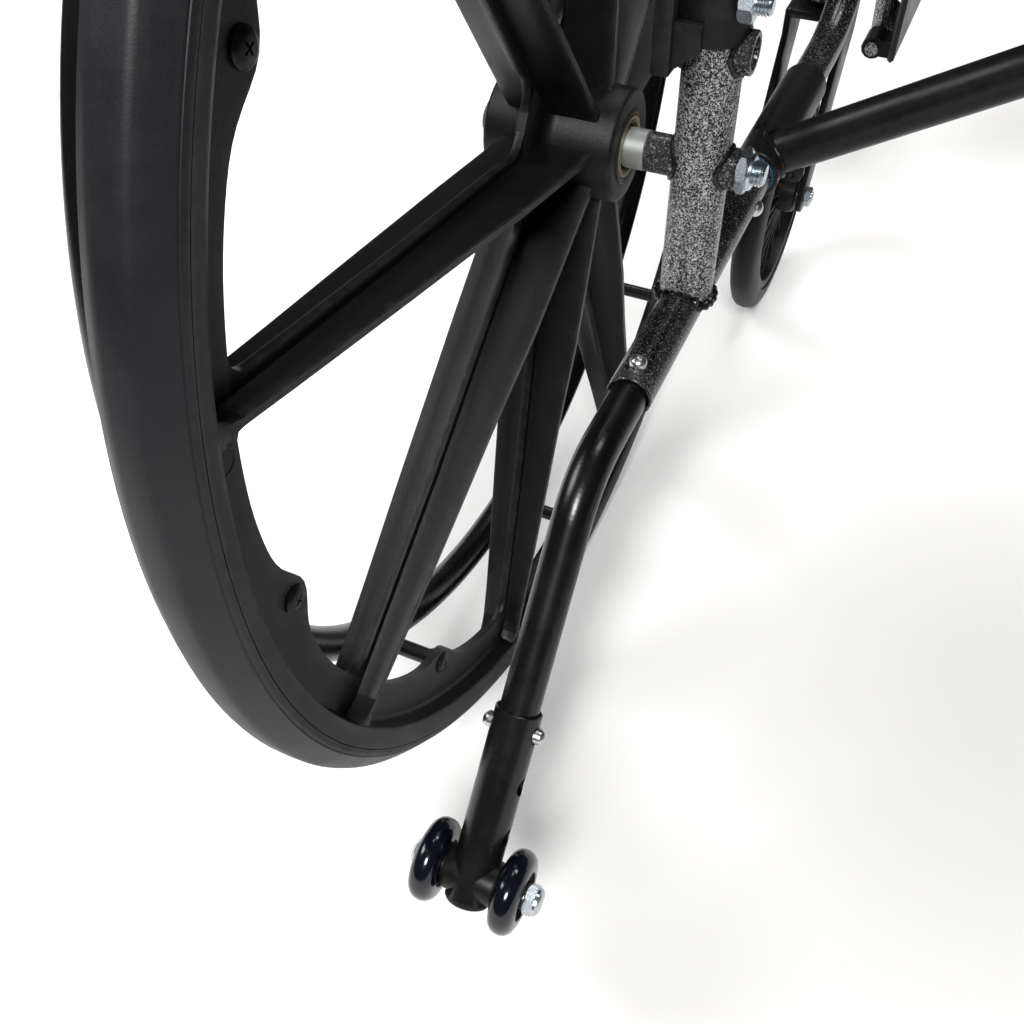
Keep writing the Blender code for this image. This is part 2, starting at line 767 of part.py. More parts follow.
def handrim():
    """Push ring with its nine spacer rods and their screw heads."""
    circle = round_end((0.0, HANDRIM_R), HANDRIM_TUBE_R, 0.0, 315.0, 7)
    ring = lathe(circle, (HANDRIM_X, 0.0, AXLE_Z), (1.0, 0.0, 0.0), RING_SIDES)
    face = WHEEL_X - WEB_HALF - WELD_GAP
    parts = []
    for k in range(SPOKES):
        centre = screw_place(k)
        inner = centre + Vector((face - 0.001, 0.0, 0.0))
        parts.append(rod(inner, centre + Vector((HANDRIM_X, 0.0, 0.0)), 0.0030, 6))
        head = centre + Vector((face - 0.0028, 0.0, 0.0))
        parts.append(rod(head, centre + Vector((face, 0.0, 0.0)), 0.0059, 8))
    return about_axle(union(ring, *parts))


def hub_bearing():
    """Shielded ball bearing in the hub's inner face."""
    start = HUB_IN_X - 0.0010
    return ring_tube((start, 0.0, AXLE_Z), (start + 0.0090, 0.0, AXLE_Z), BEARING_R, AXLE_BOLT_R + SLIP, 16)


def caster_fork():
    """Stem, crown, two blades and the caster's axle bolt."""
    crown_high = HOUSING_LOW - CROWN_DROP
    crown_low = crown_high - CROWN_THICK
    out = FORK_IN + FORK_THICK
    stem = rod(
        (CASTER_X, CASTER_Y, crown_low + 0.004),
        (CASTER_X, CASTER_Y, HOUSING_HIGH - 0.012),
        STEM_R,
    )
    collar = rod(
        (CASTER_X, CASTER_Y, crown_high - 0.001),
        (CASTER_X, CASTER_Y, HOUSING_LOW - WELD_GAP),
        0.0125,
    )
    crown = block(
        (CASTER_X - out, CASTER_Y - FORK_FRONT, crown_low),
        (CASTER_X + out, CASTER_Y + FORK_REAR, crown_high),
    )
    axle_y = CASTER_Y + CASTER_TRAIL
    waist = (CASTER_R + crown_low) / 2
    blade_outline = (
        [(CASTER_Y - FORK_FRONT, crown_high), (CASTER_Y - FORK_FRONT + 0.002, crown_low - 0.010)]
        + [(CASTER_Y + 0.016, waist - 0.012)]
        + round_end((axle_y, CASTER_R), FORK_FOOT_R, 190.0, 370.0, 5)
        + [(CASTER_Y + 0.050, waist), (CASTER_Y + FORK_REAR, crown_low - 0.006)]
        + [(CASTER_Y + FORK_REAR, crown_high)]
    )
    blades = [
        outline_plate(blade_outline, CASTER_X + low, CASTER_X + high, "X")
        for low, high in ((-out, -FORK_IN), (FORK_IN, out))
    ]
    reach = out + 0.0060
    axle = rod((CASTER_X - reach, axle_y, CASTER_R), (CASTER_X + reach, axle_y, CASTER_R), CASTER_BOLT_R, 12)
    ends = [
        rod((CASTER_X + low, axle_y, CASTER_R), (CASTER_X + high, axle_y, CASTER_R), CASTER_NUT_R, 6)
        for low, high in ((-out - 0.0050, -out + 0.0005), (out - 0.0005, out + 0.0050))
    ]
    return union(crown, stem, collar, *blades, axle, *ends)


def caster_wheel():
    """Caster's moulded wheel with thin spokes."""
    centre = Vector((CASTER_X, CASTER_Y + CASTER_TRAIL, CASTER_R))
    rim_face = Vector((CASTER_TYRE_HALF - 0.0015, 0.0, 0.0))
    rim_bore = CASTER_RIM_R - CASTER_RIM_DEPTH
    rim = ring_tube(centre - rim_face, centre + rim_face, CASTER_RIM_R, rim_bore, CASTER_SIDES)
    hub_face = Vector((FORK_IN - 0.0012, 0.0, 0.0))
    hub = rod(centre - hub_face, centre + hub_face, 0.0150, 12)
    arms = []
    low = 0.0120
    high = rim_bore + 0.003
    for k in range(CASTER_SPOKES):
        turn = Matrix.Rotation(math.tau * k / CASTER_SPOKES, 4, "X")
        bm = bmesh.new()
        bmesh.ops.create_cube(
            bm,
            size=1.0,
            matrix=Matrix.Translation(centre)
            @ turn
            @ Matrix.Translation((0.0, 0.0, (low + high) / 2))
            @ Matrix.Diagonal((0.009, 0.006, high - low, 1.0)),
        )
        arms.append(from_bmesh(bm))
    solid = union(hub, rim, *arms)
    bore = rod(centre - 2 * hub_face, centre + 2 * hub_face, CASTER_BOLT_R + SLIP, 12)
    return cut(solid, bore)


def caster_tyre():
    """Solid tyre of the caster."""
    centre = (CASTER_X, CASTER_Y + CASTER_TRAIL, CASTER_R)
    base = CASTER_RIM_R + WELD_GAP
    half = CASTER_TYRE_HALF
    profile = [
        (-half, base), (-half, base + 0.008), (-half * 0.45, CASTER_R),
        (half * 0.45, CASTER_R), (half, base + 0.008), (half, base),
    ]
    return lathe(profile, centre, (1.0, 0.0, 0.0), CASTER_SIDES)


def antitip_tube():
    """Bent tube that slips into the frame's rear stub."""
    tube = bent_tube(
        [(FRAME_X, AT_START_Y, RAIL_Z), AT_CORNER, at_point(AT_TUBE_END)],
        [AT_BEND_R],
        AT_TUBE_R,
    )
    button_hole = rod(
        (FRAME_X, BUTTON_Y, RAIL_Z - 0.003),
        (FRAME_X, BUTTON_Y, RAIL_Z + 0.02),
        BUTTON_R + SLIP,
        12,
    )
    side = Vector((0.02, 0.0, 0.0))
    pin_hole = rod(at_point(AT_PIN_AT) - side, at_point(AT_PIN_AT) + side, PIN_R + SLIP, 8)
    return cut(tube, button_hole, pin_hole)


def domed_pin(base, direction, radius, length):
    """A round pin with a domed tip."""
    profile = [
        (0.0, 0.0),
        (0.0, radius),
        (length - radius * 0.8, radius),
        (length - radius * 0.3, radius * 0.75),
        (length, radius * 0.3),
        (length, 0.0),
    ]
    return lathe(profile, base, direction, 8)


def antitip_button():
    base = (FRAME_X, BUTTON_Y, RAIL_Z + PIN_FOOT)
    return domed_pin(base, (0.0, 0.0, 1.0), BUTTON_R, BUTTON_TIP - PIN_FOOT)


def sleeve_pin(sign):
    base = at_point(AT_PIN_AT) + Vector((sign * PIN_FOOT, 0.0, 0.0))
    return domed_pin(base, (sign, 0.0, 0.0), PIN_R, PIN_TIP - PIN_FOOT)


def antitip_sleeve():
    """Height sleeve with three rows of holes, its end cap and the wheels' bolt."""
    sleeve = rod(at_point(AT_SLEEVE_TOP), at_point(AT_SLEEVE_END), AT_SLEEVE_R)
    bore = rod(at_point(AT_SLEEVE_TOP - 0.01), at_point(AT_WHEEL_AT), STUB_BORE_R)
    side = Vector((0.02, 0.0, 0.0))
    holes = []
    for row in range(3):
        centre = at_point(AT_PIN_AT + AT_HOLE_STEP * row)
        holes.append(rod(centre - side, centre + side, AT_HOLE_R, 8))
    sleeve = cut(sleeve, bore, *holes)
    reach = AT_WHEEL_X + AT_WHEEL_WIDTH / 2
    face = reach + 2 * WELD_GAP

    def across(low, high, radius, sides):
        return rod(AT_AXLE + Vector((low, 0.0, 0.0)), AT_AXLE + Vector((high, 0.0, 0.0)), radius, sides)

    bolt = across(-reach - 0.0080, reach + 0.0055, AT_BOLT_R, 12)
    nut = across(-reach - 0.0060, -face, 0.0075, 6)
    head = across(face, reach + 0.0050, 0.0075, 6)
    inner_face = AT_WHEEL_X - AT_WHEEL_WIDTH / 2 - 2 * WELD_GAP
    spacer = across(-inner_face, inner_face, AT_SPACER_R, 12)
    return union(sleeve, spacer, bolt, nut, head)


def antitip_wheel(sign):
    """Small roller beside the sleeve."""
    half = AT_WHEEL_WIDTH / 2
    bore = AT_BOLT_R + SLIP
    profile = [
        (-half, bore), (-half, AT_WHEEL_R - 0.004), (-half + 0.003, AT_WHEEL_R),
        (half - 0.003, AT_WHEEL_R), (half, AT_WHEEL_R - 0.004), (half, bore),
    ]
    return lathe(profile, AT_AXLE + Vector((sign * AT_WHEEL_X, 0.0, 0.0)), (1.0, 0.0, 0.0), 16)


def hanger():
    """Swing-away hanger: two collars on the frame's pins and a bent tube down to the foot."""
    low = leg_point(HANGER_LOW_Z)
    tube = bent_tube(
        [(FRAME_X, HANGER_TUBE_Y, HANGER_FOOT_Z), (FRAME_X, HANGER_TUBE_Y, HANGER_TOP_Z), LEG_CORNER, low],
        [0.032, 0.034],
        HANGER_R,
        resolution=3,
    )
    collars = []
    for height in (LUG_LOW_Z, LUG_HIGH_Z):
        start = height + LUG_THICK + WELD_GAP
        outline = (
            [(FRAME_X + 0.0095, HANGER_TUBE_Y)]
            + round_end((FRAME_X, HANGER_PIVOT_Y), 0.0105, 0.0, 180.0)
            + [(FRAME_X - 0.0095, HANGER_TUBE_Y)]
        )
        collars.append(outline_plate(outline, start, start + COLLAR_THICK, "Z"))
    body = union(tube, *collars)
    holes = [
        rod(
            (FRAME_X, HANGER_PIVOT_Y, height),
            (FRAME_X, HANGER_PIVOT_Y, height + 0.03),
            LUG_PIN_R + SLIP,
            12,
        )
        for height in (LUG_LOW_Z, LUG_HIGH_Z)
    ]
    bore = rod(leg_point(FOOT_TUBE_TOP_Z + 0.004), low + LEG_DIRECTION * 0.01, HANGER_BORE_R)
    return cut(body, *holes, bore)


def hanger_latch():
    """Release lever that turns on the hanger's upright."""
    low = LATCH_LOW_Z
    high = LATCH_LOW_Z + LATCH_THICK
    ring = rod((FRAME_X, HANGER_TUBE_Y, low), (FRAME_X, HANGER_TUBE_Y, high), 0.0155, 14)
    tab = outline_plate(
        [
            (FRAME_X + 0.008, HANGER_TUBE_Y - 0.012),
            (FRAME_X + 0.046, HANGER_TUBE_Y - 0.018),
            (FRAME_X + 0.046, HANGER_TUBE_Y - 0.006),
            (FRAME_X + 0.012, HANGER_TUBE_Y + 0.006),
        ],
        low + 0.004,
        high - 0.004,
        "Z",
    )
    nose = outline_plate(
        [
            (FRAME_X + 0.001, HANGER_TUBE_Y + 0.010),
            (FRAME_X + 0.011, HANGER_TUBE_Y + 0.010),
            (FRAME_X + 0.009, HANGER_PIVOT_Y + 0.004),
            (FRAME_X + 0.004, HANGER_PIVOT_Y + 0.005),
        ],
        low + 0.003,
        high - 0.003,
        "Z",
    )
    bore = rod(
        (FRAME_X, HANGER_TUBE_Y, low - 0.01),
        (FRAME_X, HANGER_TUBE_Y, high + 0.01),
        HANGER_R + SLIP,
        14,
    )
    return cut(union(ring, tab, nose), bore)


def footrest_tube():
    """Sliding lower leg with the footplate's pin across its foot."""
    leg = rod(leg_point(FOOT_TUBE_TOP_Z), FOOT_PIN, FOOT_TUBE_R)
    front = FOOT_PIN + Vector((0.0, -0.052, 0.0))
    rear = FOOT_PIN + Vector((0.0, 0.046, 0.0))
    return union(leg, rod(front, rear, FOOT_PIN_R))


def footplate():
    """Footplate turned up, on two knuckles around its pin."""
    knuckles = []
    inner = FRAME_X - PLATE_OFFSET
    flat = KNUCKLE_R * 0.7
    for low, high in ((-0.048, -0.016), (0.016, 0.042)):
        front = FOOT_PIN[1] + low
        rear = FOOT_PIN[1] + high
        knuckles.append(rod((FRAME_X, front, FOOT_PIN_Z), (FRAME_X, rear, FOOT_PIN_Z), KNUCKLE_R))
        knuckles.append(
            block(
                (inner - PLATE_THICK / 2, front, FOOT_PIN_Z - flat),
                (FRAME_X - 0.004, rear, FOOT_PIN_Z + flat),
            )
        )
    plate = bevelled(
        block(
            (inner - PLATE_THICK, PLATE_FRONT_Y, FOOT_PIN_Z - KNUCKLE_R * 0.8),
            (inner, PLATE_REAR_Y, FOOT_PIN_Z + PLATE_REACH),
        ),
        0.0025,
        1,
    )
    bore = rod(
        (FRAME_X, PLATE_FRONT_Y, FOOT_PIN_Z),
        (FRAME_X, PLATE_REAR_Y + 0.02, FOOT_PIN_Z),
        FOOT_PIN_R + SLIP,
    )
    return cut(union(plate, *knuckles), bore)


def armrest():
    """Flip-back armrest's bent tube."""
    tube = bent_tube(
        [
            (ARM_X, 0.0, ARM_LOW_Z),
            (ARM_X, 0.0, ARM_TOP_Z),
            (ARM_X, ARM_FRONT_Y, ARM_TOP_Z),
            (ARM_X, ARM_FRONT_Y, ARM_SOCKET_Z),
        ],
        [ARM_BEND_R, ARM_BEND_R],
        ARM_R,
        resolution=3,
    )
    bore = rod((ARM_X - 0.03, 0.0, ARM_PIVOT_Z), (ARM_X + 0.03, 0.0, ARM_PIVOT_Z), ARM_PIN_R + SLIP, 12)
    return cut(tube, bore)


def arm_pad():
    base = ARM_TOP_Z + ARM_R + WELD_GAP
    pad = block(
        (ARM_X + PAD_SHIFT - PAD_WIDTH / 2, PAD_FRONT_Y, base),
        (ARM_X + PAD_SHIFT + PAD_WIDTH / 2, PAD_REAR_Y, base + PAD_HEIGHT),
    )
    return bevelled(pad, 0.007, 2)


def skirt_guard():
    """Panel between the armrest's two posts."""
    panel = block(
        (ARM_X - 0.0015, ARM_FRONT_Y + ARM_R + SLIP, ARM_PIVOT_Z + 0.020),
        (ARM_X + 0.0015, -ARM_R - SLIP, ARM_TOP_Z - ARM_R - SLIP),
    )
    bm = bmesh.new()
    bm.from_mesh(panel.data)
    edges = [
        e for e in bm.edges
        if abs(e.verts[0].co.x - e.verts[1].co.x) > 0.002 and e.verts[0].co.z > ARM_PIVOT_Z + 0.05
    ]
    bmesh.ops.bevel(bm, geom=edges, offset=GUARD_CORNER_R, segments=4, profile=0.5, affect="EDGES")
    bm.to_mesh(panel.data)
    bm.free()
    return panel


def lock_lever():
    """Wheel lock's lever with its shoe bar and plastic handle."""
    low = LOCK_LEVER_X - 0.005
    high = LOCK_LEVER_X
    plate = outline_plate(
        [
            (LOCK_Y + 0.012, LOCK_Z - 0.004),
            (LOCK_Y + 0.010, LOCK_Z + 0.012),
            (LOCK_Y + 0.004, LOCK_HANDLE_Z - 0.070),
            (LOCK_Y - 0.008, LOCK_HANDLE_Z - 0.070),
            (LOCK_Y - 0.012, LOCK_Z + 0.004),
            (LOCK_SHOE_Y - 0.009, LOCK_SHOE_Z),
            (LOCK_SHOE_Y - 0.004, LOCK_SHOE_Z - 0.007),
            (LOCK_SHOE_Y + 0.006, LOCK_SHOE_Z - 0.003),
        ],
        low,
        high,
        "X",
    )
    shoe = rod(
        (low + 0.001, LOCK_SHOE_Y, LOCK_SHOE_Z),
        (WHEEL_X + TYRE_HALF, LOCK_SHOE_Y, LOCK_SHOE_Z),
        LOCK_SHOE_R,
    )
    grip = rod(
        (LOCK_LEVER_X - 0.0025, LOCK_Y - 0.002, LOCK_HANDLE_Z - 0.085),
        (LOCK_LEVER_X - 0.0025, LOCK_Y - 0.006, LOCK_HANDLE_Z),
        0.0095,
        14,
    )
    body = union(plate, shoe, grip)
    bore = rod((low - 0.01, LOCK_Y, LOCK_Z), (high + 0.01, LOCK_Y, LOCK_Z), LOCK_STUD_R + SLIP, 12)
    return cut(body, bore)


def brace(sign, offset):
    """Cross-brace half: pivot sleeve around one lower rail, diagonal, and the other
    side's seat rail."""
    foot = Vector((sign * FRAME_X, BRACE_Y + offset, RAIL_Z))
    top = Vector((-sign * FRAME_X, BRACE_Y + offset, SEAT_Z))
    sleeve = rod(
        (sign * FRAME_X, foot.y + SLEEVE_BEHIND, RAIL_Z),
        (sign * FRAME_X, foot.y - SLEEVE_AHEAD, RAIL_Z),
        SLEEVE_R,
        16,
    )
    diagonal = rod(foot, top, DIAGONAL_R)
    seat_rail = rod(
        (-sign * FRAME_X, SEAT_RAIL_REAR_Y, SEAT_Z),
        (-sign * FRAME_X, SEAT_RAIL_FRONT_Y, SEAT_Z),
        BRACE_R,
    )
    body = union(sleeve, diagonal, seat_rail)
    bore = rod(
        (sign * FRAME_X, foot.y + SLEEVE_BEHIND + 0.01, RAIL_Z),
        (sign * FRAME_X, foot.y - SLEEVE_AHEAD - 0.01, RAIL_Z),
        RAIL_R + SLIP * 1.5,
        16,
    )
    middle = (RAIL_Z + SEAT_Z) / 2
    bolt_hole = rod((0.0, BRACE_Y - 0.03, middle), (0.0, BRACE_Y + 0.03, middle), CENTRE_BOLT_R + SLIP, 12)
    return cut(body, bore, bolt_hole)


def brace_bolt():
    """Centre bolt of the cross-brace with its spacer, head and nut."""
    middle = (RAIL_Z + SEAT_Z) / 2
    reach = BRACE_OFFSET + DIAGONAL_R
    gap = BRACE_OFFSET - DIAGONAL_R - WELD_GAP

    def stack(low, high, radius, sides):
        return rod((0.0, BRACE_Y + low, middle), (0.0, BRACE_Y + high, middle), radius, sides)

    shaft = stack(-reach - 0.009, reach + 0.010, CENTRE_BOLT_R, 12)
    spacer = stack(-gap, gap, 0.0085, 14)
    head = stack(-reach - 0.008, -reach - WELD_GAP, 0.0085, 6)
    nut = stack(reach + WELD_GAP, reach + 0.008, 0.0085, 6)
    return union(shaft, spacer, head, nut)


def ribbon(points, shift, rows):
    """A cloth strip: a line of points swept by a shift vector, given its thickness."""
    bm = bmesh.new()
    grid = []
    for row in range(rows + 1):
        move = Vector(shift) * (row / rows)
        grid.append([bm.verts.new(Vector(p) + move) for p in points])
    for low, high in zip(grid, grid[1:]):
        for i in range(len(points) - 1):
            bm.faces.new((low[i], low[i + 1], high[i + 1], high[i]))
    obj = from_bmesh(bm)
    step = obj.modifiers.new("cloth", "SOLIDIFY")
    step.thickness = SLING_THICK
    step.offset = 0.0
    step.use_even_offset = True
    return combine(obj, (), "UNION")


def seat_sling():
    """Seat upholstery, sagging between the two seat rails that it wraps."""
    wrap = BRACE_R + SLIP + SLING_THICK / 2
    right = round_end((-FRAME_X, SEAT_Z), wrap, 235.0, 85.0, 6)
    left = [(-x, z) for x, z in reversed(right)]
    edge_x, edge_z = left[0]
    middle = []
    for i in range(1, 12):
        x = -edge_x + 2 * edge_x * i / 12
        middle.append((x, edge_z - SEAT_SAG * (1 - (x / edge_x) ** 2)))
    outline = right + middle + left
    points = [(x, SEAT_RAIL_REAR_Y - 0.004, z) for x, z in outline]
    depth = SEAT_RAIL_FRONT_Y + 0.008 - SEAT_RAIL_REAR_Y
    return ribbon(points, (0.0, depth, 0.0), 2)


def back_sling():
    """Back upholstery, wrapped around the two canes."""
    wrap = TUBE_R + SLIP + SLING_THICK / 2
    right = round_end((-FRAME_X, 0.0), wrap, 240.0, 30.0, 7)
    left = [(-x, y) for x, y in reversed(right)]
    edge_x, edge_y = left[0]
    middle = []
    for i in range(1, 12):
        x = -edge_x + 2 * edge_x * i / 12
        middle.append((x, edge_y + BACK_SAG * (1 - (x / edge_x) ** 2)))
    outline = right + middle + left
    rise = BACK_HIGH_Z - BACK_LOW_Z
    points = [(x, y + cane_y(BACK_LOW_Z), BACK_LOW_Z) for x, y in outline]
    return ribbon(points, (0.0, cane_y(BACK_HIGH_Z) - cane_y(BACK_LOW_Z), rise), 3)


# The bodies of one side: each has a parent and the place of its joint.
SIDE_BODIES = {
    "frame": (None, Vector((FRAME_X, BRACE_Y, RAIL_Z))),
    "rear_wheel": ("frame", Vector((WHEEL_X, 0.0, AXLE_Z))),
    "caster_swivel": ("frame", Vector((CASTER_X, CASTER_Y, HOUSING_LOW))),
    "caster_roll": ("caster_swivel", Vector((CASTER_X, CASTER_Y + CASTER_TRAIL, CASTER_R))),
    "antitip": ("frame", Vector((FRAME_X, STUB_END_Y, RAIL_Z))),
    "antitip_snap": ("antitip", Vector((FRAME_X, BUTTON_Y, RAIL_Z))),
    "sleeve": ("antitip", AT_CORNER + AT_DIRECTION * AT_SLEEVE_TOP),
    "pin_inner": ("antitip", AT_CORNER + AT_DIRECTION * AT_PIN_AT),
    "pin_outer": ("antitip", AT_CORNER + AT_DIRECTION * AT_PIN_AT),
    "roller_inner": ("sleeve", AT_AXLE - Vector((AT_WHEEL_X, 0.0, 0.0))),
    "roller_outer": ("sleeve", AT_AXLE + Vector((AT_WHEEL_X, 0.0, 0.0))),
    "legrest": ("frame", Vector((FRAME_X, HANGER_PIVOT_Y, LUG_LOW_Z))),
    "legrest_latch": ("legrest", Vector((FRAME_X, HANGER_TUBE_Y, LATCH_LOW_Z + LATCH_THICK / 2))),
    "foot_slide": ("legrest", leg_point(HANGER_LOW_Z)),
    "foot_flip": ("foot_slide", FOOT_PIN),
    "arm": ("frame", Vector((ARM_X, 0.0, ARM_PIVOT_Z))),
    "lock": ("frame", Vector((LOCK_LEVER_X, LOCK_Y, LOCK_Z))),
}

# The nodes of one side: name, builder, finish and body.
SIDE_NODES = (
    ("side_frame", side_frame, "silver_vein", "frame"),
    ("back_cane", back_cane, "silver_vein", "frame"),
    ("push_grip", push_grip, "vinyl", "frame"),
    ("arm_bracket", arm_bracket, "black_steel", "frame"),
    ("axle_bolt", axle_bolt, "zinc", "frame"),
    ("wheel", wheel, "black_plastic", "rear_wheel"),
    ("tyre", tyre, "grey_tyre", "rear_wheel"),
    ("handrim", handrim, "black_plastic", "rear_wheel"),
    ("hub_bearing", hub_bearing, "cream_seal", "rear_wheel"),
    ("caster_fork", caster_fork, "black_steel", "caster_swivel"),
    ("caster_wheel", caster_wheel, "black_plastic", "caster_roll"),
    ("caster_tyre", caster_tyre, "grey_tyre", "caster_roll"),
    ("antitip_tube", antitip_tube, "gloss_black", "antitip"),
    ("antitip_button", antitip_button, "zinc", "antitip_snap"),
    ("antitip_sleeve", antitip_sleeve, "gloss_black", "sleeve"),
    ("sleeve_pin_inner", lambda: sleeve_pin(-1), "zinc", "pin_inner"),
    ("sleeve_pin_outer", lambda: sleeve_pin(1), "zinc", "pin_outer"),
    ("antitip_wheel_inner", lambda: antitip_wheel(-1), "navy_urethane", "roller_inner"),
    ("antitip_wheel_outer", lambda: antitip_wheel(1), "navy_urethane", "roller_outer"),
    ("hanger", hanger, "silver_vein", "legrest"),
    ("hanger_latch", hanger_latch, "black_plastic", "legrest_latch"),
    ("footrest_tube", footrest_tube, "silver_vein", "foot_slide"),
    ("footplate", footplate, "black_plastic", "foot_flip"),
    ("armrest", armrest, "silver_vein", "arm"),
    ("arm_pad", arm_pad, "vinyl", "arm"),
    ("skirt_guard", skirt_guard, "black_plastic", "arm"),
    ("lock_lever", lock_lever, "black_steel", "lock"),
)


def mirrored(mesh):
    """The same mesh on the other side of the chair."""
    bm = bmesh.new()
    bm.from_mesh(mesh)
    bmesh.ops.transform(bm, matrix=Matrix.Diagonal((-1.0, 1.0, 1.0, 1.0)), verts=bm.verts)
    bmesh.ops.reverse_faces(bm, faces=bm.faces)
    other = bpy.data.meshes.new("piece")
    bm.to_mesh(other)
    bm.free()
    return other


def axis_empty(name, place, parent, parent_place):
    """A small empty on a joint, under its parent's empty."""
    empty = bpy.data.objects.new(name, None)
    empty.empty_display_size = 0.02
    empty.location = place - parent_place
    empty.parent = parent
    chair.objects.link(empty)
    return empty


def place_node(name, mesh, colour, empty, place):
    """A named object whose origin is its body's joint."""
    mesh.transform(Matrix.Translation(-place))
    mesh.name = name
    mesh.materials.clear()
    mesh.materials.append(finish(colour))
    mesh.polygons.foreach_set("use_smooth", [True] * len(mesh.polygons))
    mesh.set_sharp_from_angle(angle=math.radians(35.0))
    obj = bpy.data.objects.new(name, mesh)
    obj.parent = empty
    chair.objects.link(obj)
    return obj


left_meshes = {}
for name, builder, colour, body in SIDE_NODES:
    piece = builder()
    left_meshes[name] = piece.data.copy()
    bpy.data.objects.remove(piece)

root = bpy.data.objects.new("wheelchair", None)
root.empty_display_size = 0.1
chair.objects.link(root)
origin = Vector((0.0, 0.0, 0.0))
nodes = []

for side, sign in (("left", 1.0), ("right", -1.0)):
    empties = {}
    for body, (parent, place) in SIDE_BODIES.items():
        here = Vector((sign * place.x, place.y, place.z))
        above, above_place = (root, origin) if parent is None else empties[parent]
        empties[body] = (axis_empty(f"{body}_{side}_axis", here, above, above_place), here)
    for name, builder, colour, body in SIDE_NODES:
        mesh = left_meshes[name].copy() if sign > 0 else mirrored(left_meshes[name])
        empty, here = empties[body]
        nodes.append(place_node(f"{name}_{side}", mesh, colour, empty, here))

brace_a_place = Vector((FRAME_X, BRACE_Y, RAIL_Z))
centre_place = Vector((0.0, BRACE_Y, (RAIL_Z + SEAT_Z) / 2))
brace_a_axis = axis_empty("brace_a_axis", brace_a_place, root, origin)
brace_b_axis = axis_empty("brace_b_axis", centre_place, brace_a_axis, brace_a_place)
for name, piece, colour, empty, place in (
    ("brace_a", brace(1.0, -BRACE_OFFSET), "black_steel", brace_a_axis, brace_a_place),
    ("brace_b", brace(-1.0, BRACE_OFFSET), "black_steel", brace_b_axis, centre_place),
    ("brace_bolt", brace_bolt(), "zinc", brace_a_axis, brace_a_place),
    ("seat_sling", seat_sling(), "nylon", root, origin),
    ("back_sling", back_sling(), "nylon", root, origin),
):
    mesh = piece.data.copy()
    bpy.data.objects.remove(piece)
    nodes.append(place_node(name, mesh, colour, empty, place))

# The origin goes to the bottom centre of everything at rest.
bpy.context.view_layer.update()
corners = [node.matrix_world @ vertex.co for node in nodes for vertex in node.data.vertices]
front = min(corner.y for corner in corners)
rear = max(corner.y for corner in corners)
lowest = min(corner.z for corner in corners)
root.location = (0.0, -(front + rear) / 2, -lowest)
bpy.context.view_layer.update()

print("axle y", round(root.location.y, 5), "lift", round(root.location.z, 5))
print("length", round(rear - front, 4), "width", round(2 * max(c.x for c in corners), 4))
print("height", round(max(c.z for c in corners) - lowest, 4), "nodes", len(nodes))
print("triangles", sum(len(p.vertices) - 2 for node in nodes for p in node.data.polygons))
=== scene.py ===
# %% [markdown]
# # A lightweight folding wheelchair
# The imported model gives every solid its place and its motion. This lesson dresses it: each
# visible piece is modelled again in finer detail, rides on the body that carries it, and gets
# a finish of its own. The left half is made, and a mirrored copy serves the right half.

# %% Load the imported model
import math

import bmesh
import bpy
from mathutils import Matrix, Vector


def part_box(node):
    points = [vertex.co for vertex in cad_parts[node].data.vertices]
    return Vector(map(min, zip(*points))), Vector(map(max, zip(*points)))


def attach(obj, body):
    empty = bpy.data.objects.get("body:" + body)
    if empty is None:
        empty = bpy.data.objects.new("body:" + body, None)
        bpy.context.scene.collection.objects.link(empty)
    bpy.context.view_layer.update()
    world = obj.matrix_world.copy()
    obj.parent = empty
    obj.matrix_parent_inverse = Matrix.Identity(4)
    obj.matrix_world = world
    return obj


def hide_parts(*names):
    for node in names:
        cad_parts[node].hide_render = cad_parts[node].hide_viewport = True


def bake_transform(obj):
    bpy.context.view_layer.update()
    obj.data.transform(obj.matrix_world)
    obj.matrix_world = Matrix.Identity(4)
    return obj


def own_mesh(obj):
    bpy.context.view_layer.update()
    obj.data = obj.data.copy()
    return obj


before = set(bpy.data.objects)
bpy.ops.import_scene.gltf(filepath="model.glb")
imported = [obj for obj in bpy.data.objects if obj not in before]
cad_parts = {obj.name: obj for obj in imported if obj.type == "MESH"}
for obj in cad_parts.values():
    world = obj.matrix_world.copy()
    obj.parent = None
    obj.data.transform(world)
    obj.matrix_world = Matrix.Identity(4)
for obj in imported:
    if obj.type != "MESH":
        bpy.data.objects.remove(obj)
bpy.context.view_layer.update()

# %% [markdown]
# ## Where the chair's lines run
# A workshop drawing of a wheelchair is measured from the rear axle, so these sizes are too:
# how far each line stands from the axle, and how thick the tube is. Heights are from the
# floor, in metres. Outlines are noted as on the drawing, in millimetres, and `mm` reads them.

# %% Main lines
AXLE_Y = 0.20727
AXLE_Z = 0.2975
FRAME_X = 0.218
RAIL_Z = AXLE_Z - 0.072
UPPER_Z = AXLE_Z + 0.143
SEAT_Z = AXLE_Z + 0.19
FRONT_Y = -0.372
WHEEL_X = 0.2775
POST_R = 0.0127
RAIL_R = 0.0106
X, Y, Z = (Vector(row) for row in Matrix.Identity(3))


def at(x, y, z):
    """A point whose Y is counted from the rear axle."""
    return Vector((x, y + AXLE_Y, z))


def mm(text):
    """Points in metres from a row of points in millimetres."""
    return [tuple(float(number) / 1000 for number in point.split()) for point in text.split(",")]


low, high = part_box("axle_bolt_left")
print("axle found at", round((low[1] + high[1]) / 2, 4), "and drawn at", AXLE_Y)

# %% [markdown]
# ## Shaping helpers
# Most of the chair is tube, turned parts and cut plate, so three helpers carry the work.
# `swept` pushes a flat outline through a row of places, which makes bent tube and ribs.
# `turned` spins an outline about an axis, as on a lathe. `plate` gives a flat outline its
# thickness. Each returns a bmesh, and `gather` puts several into one piece.


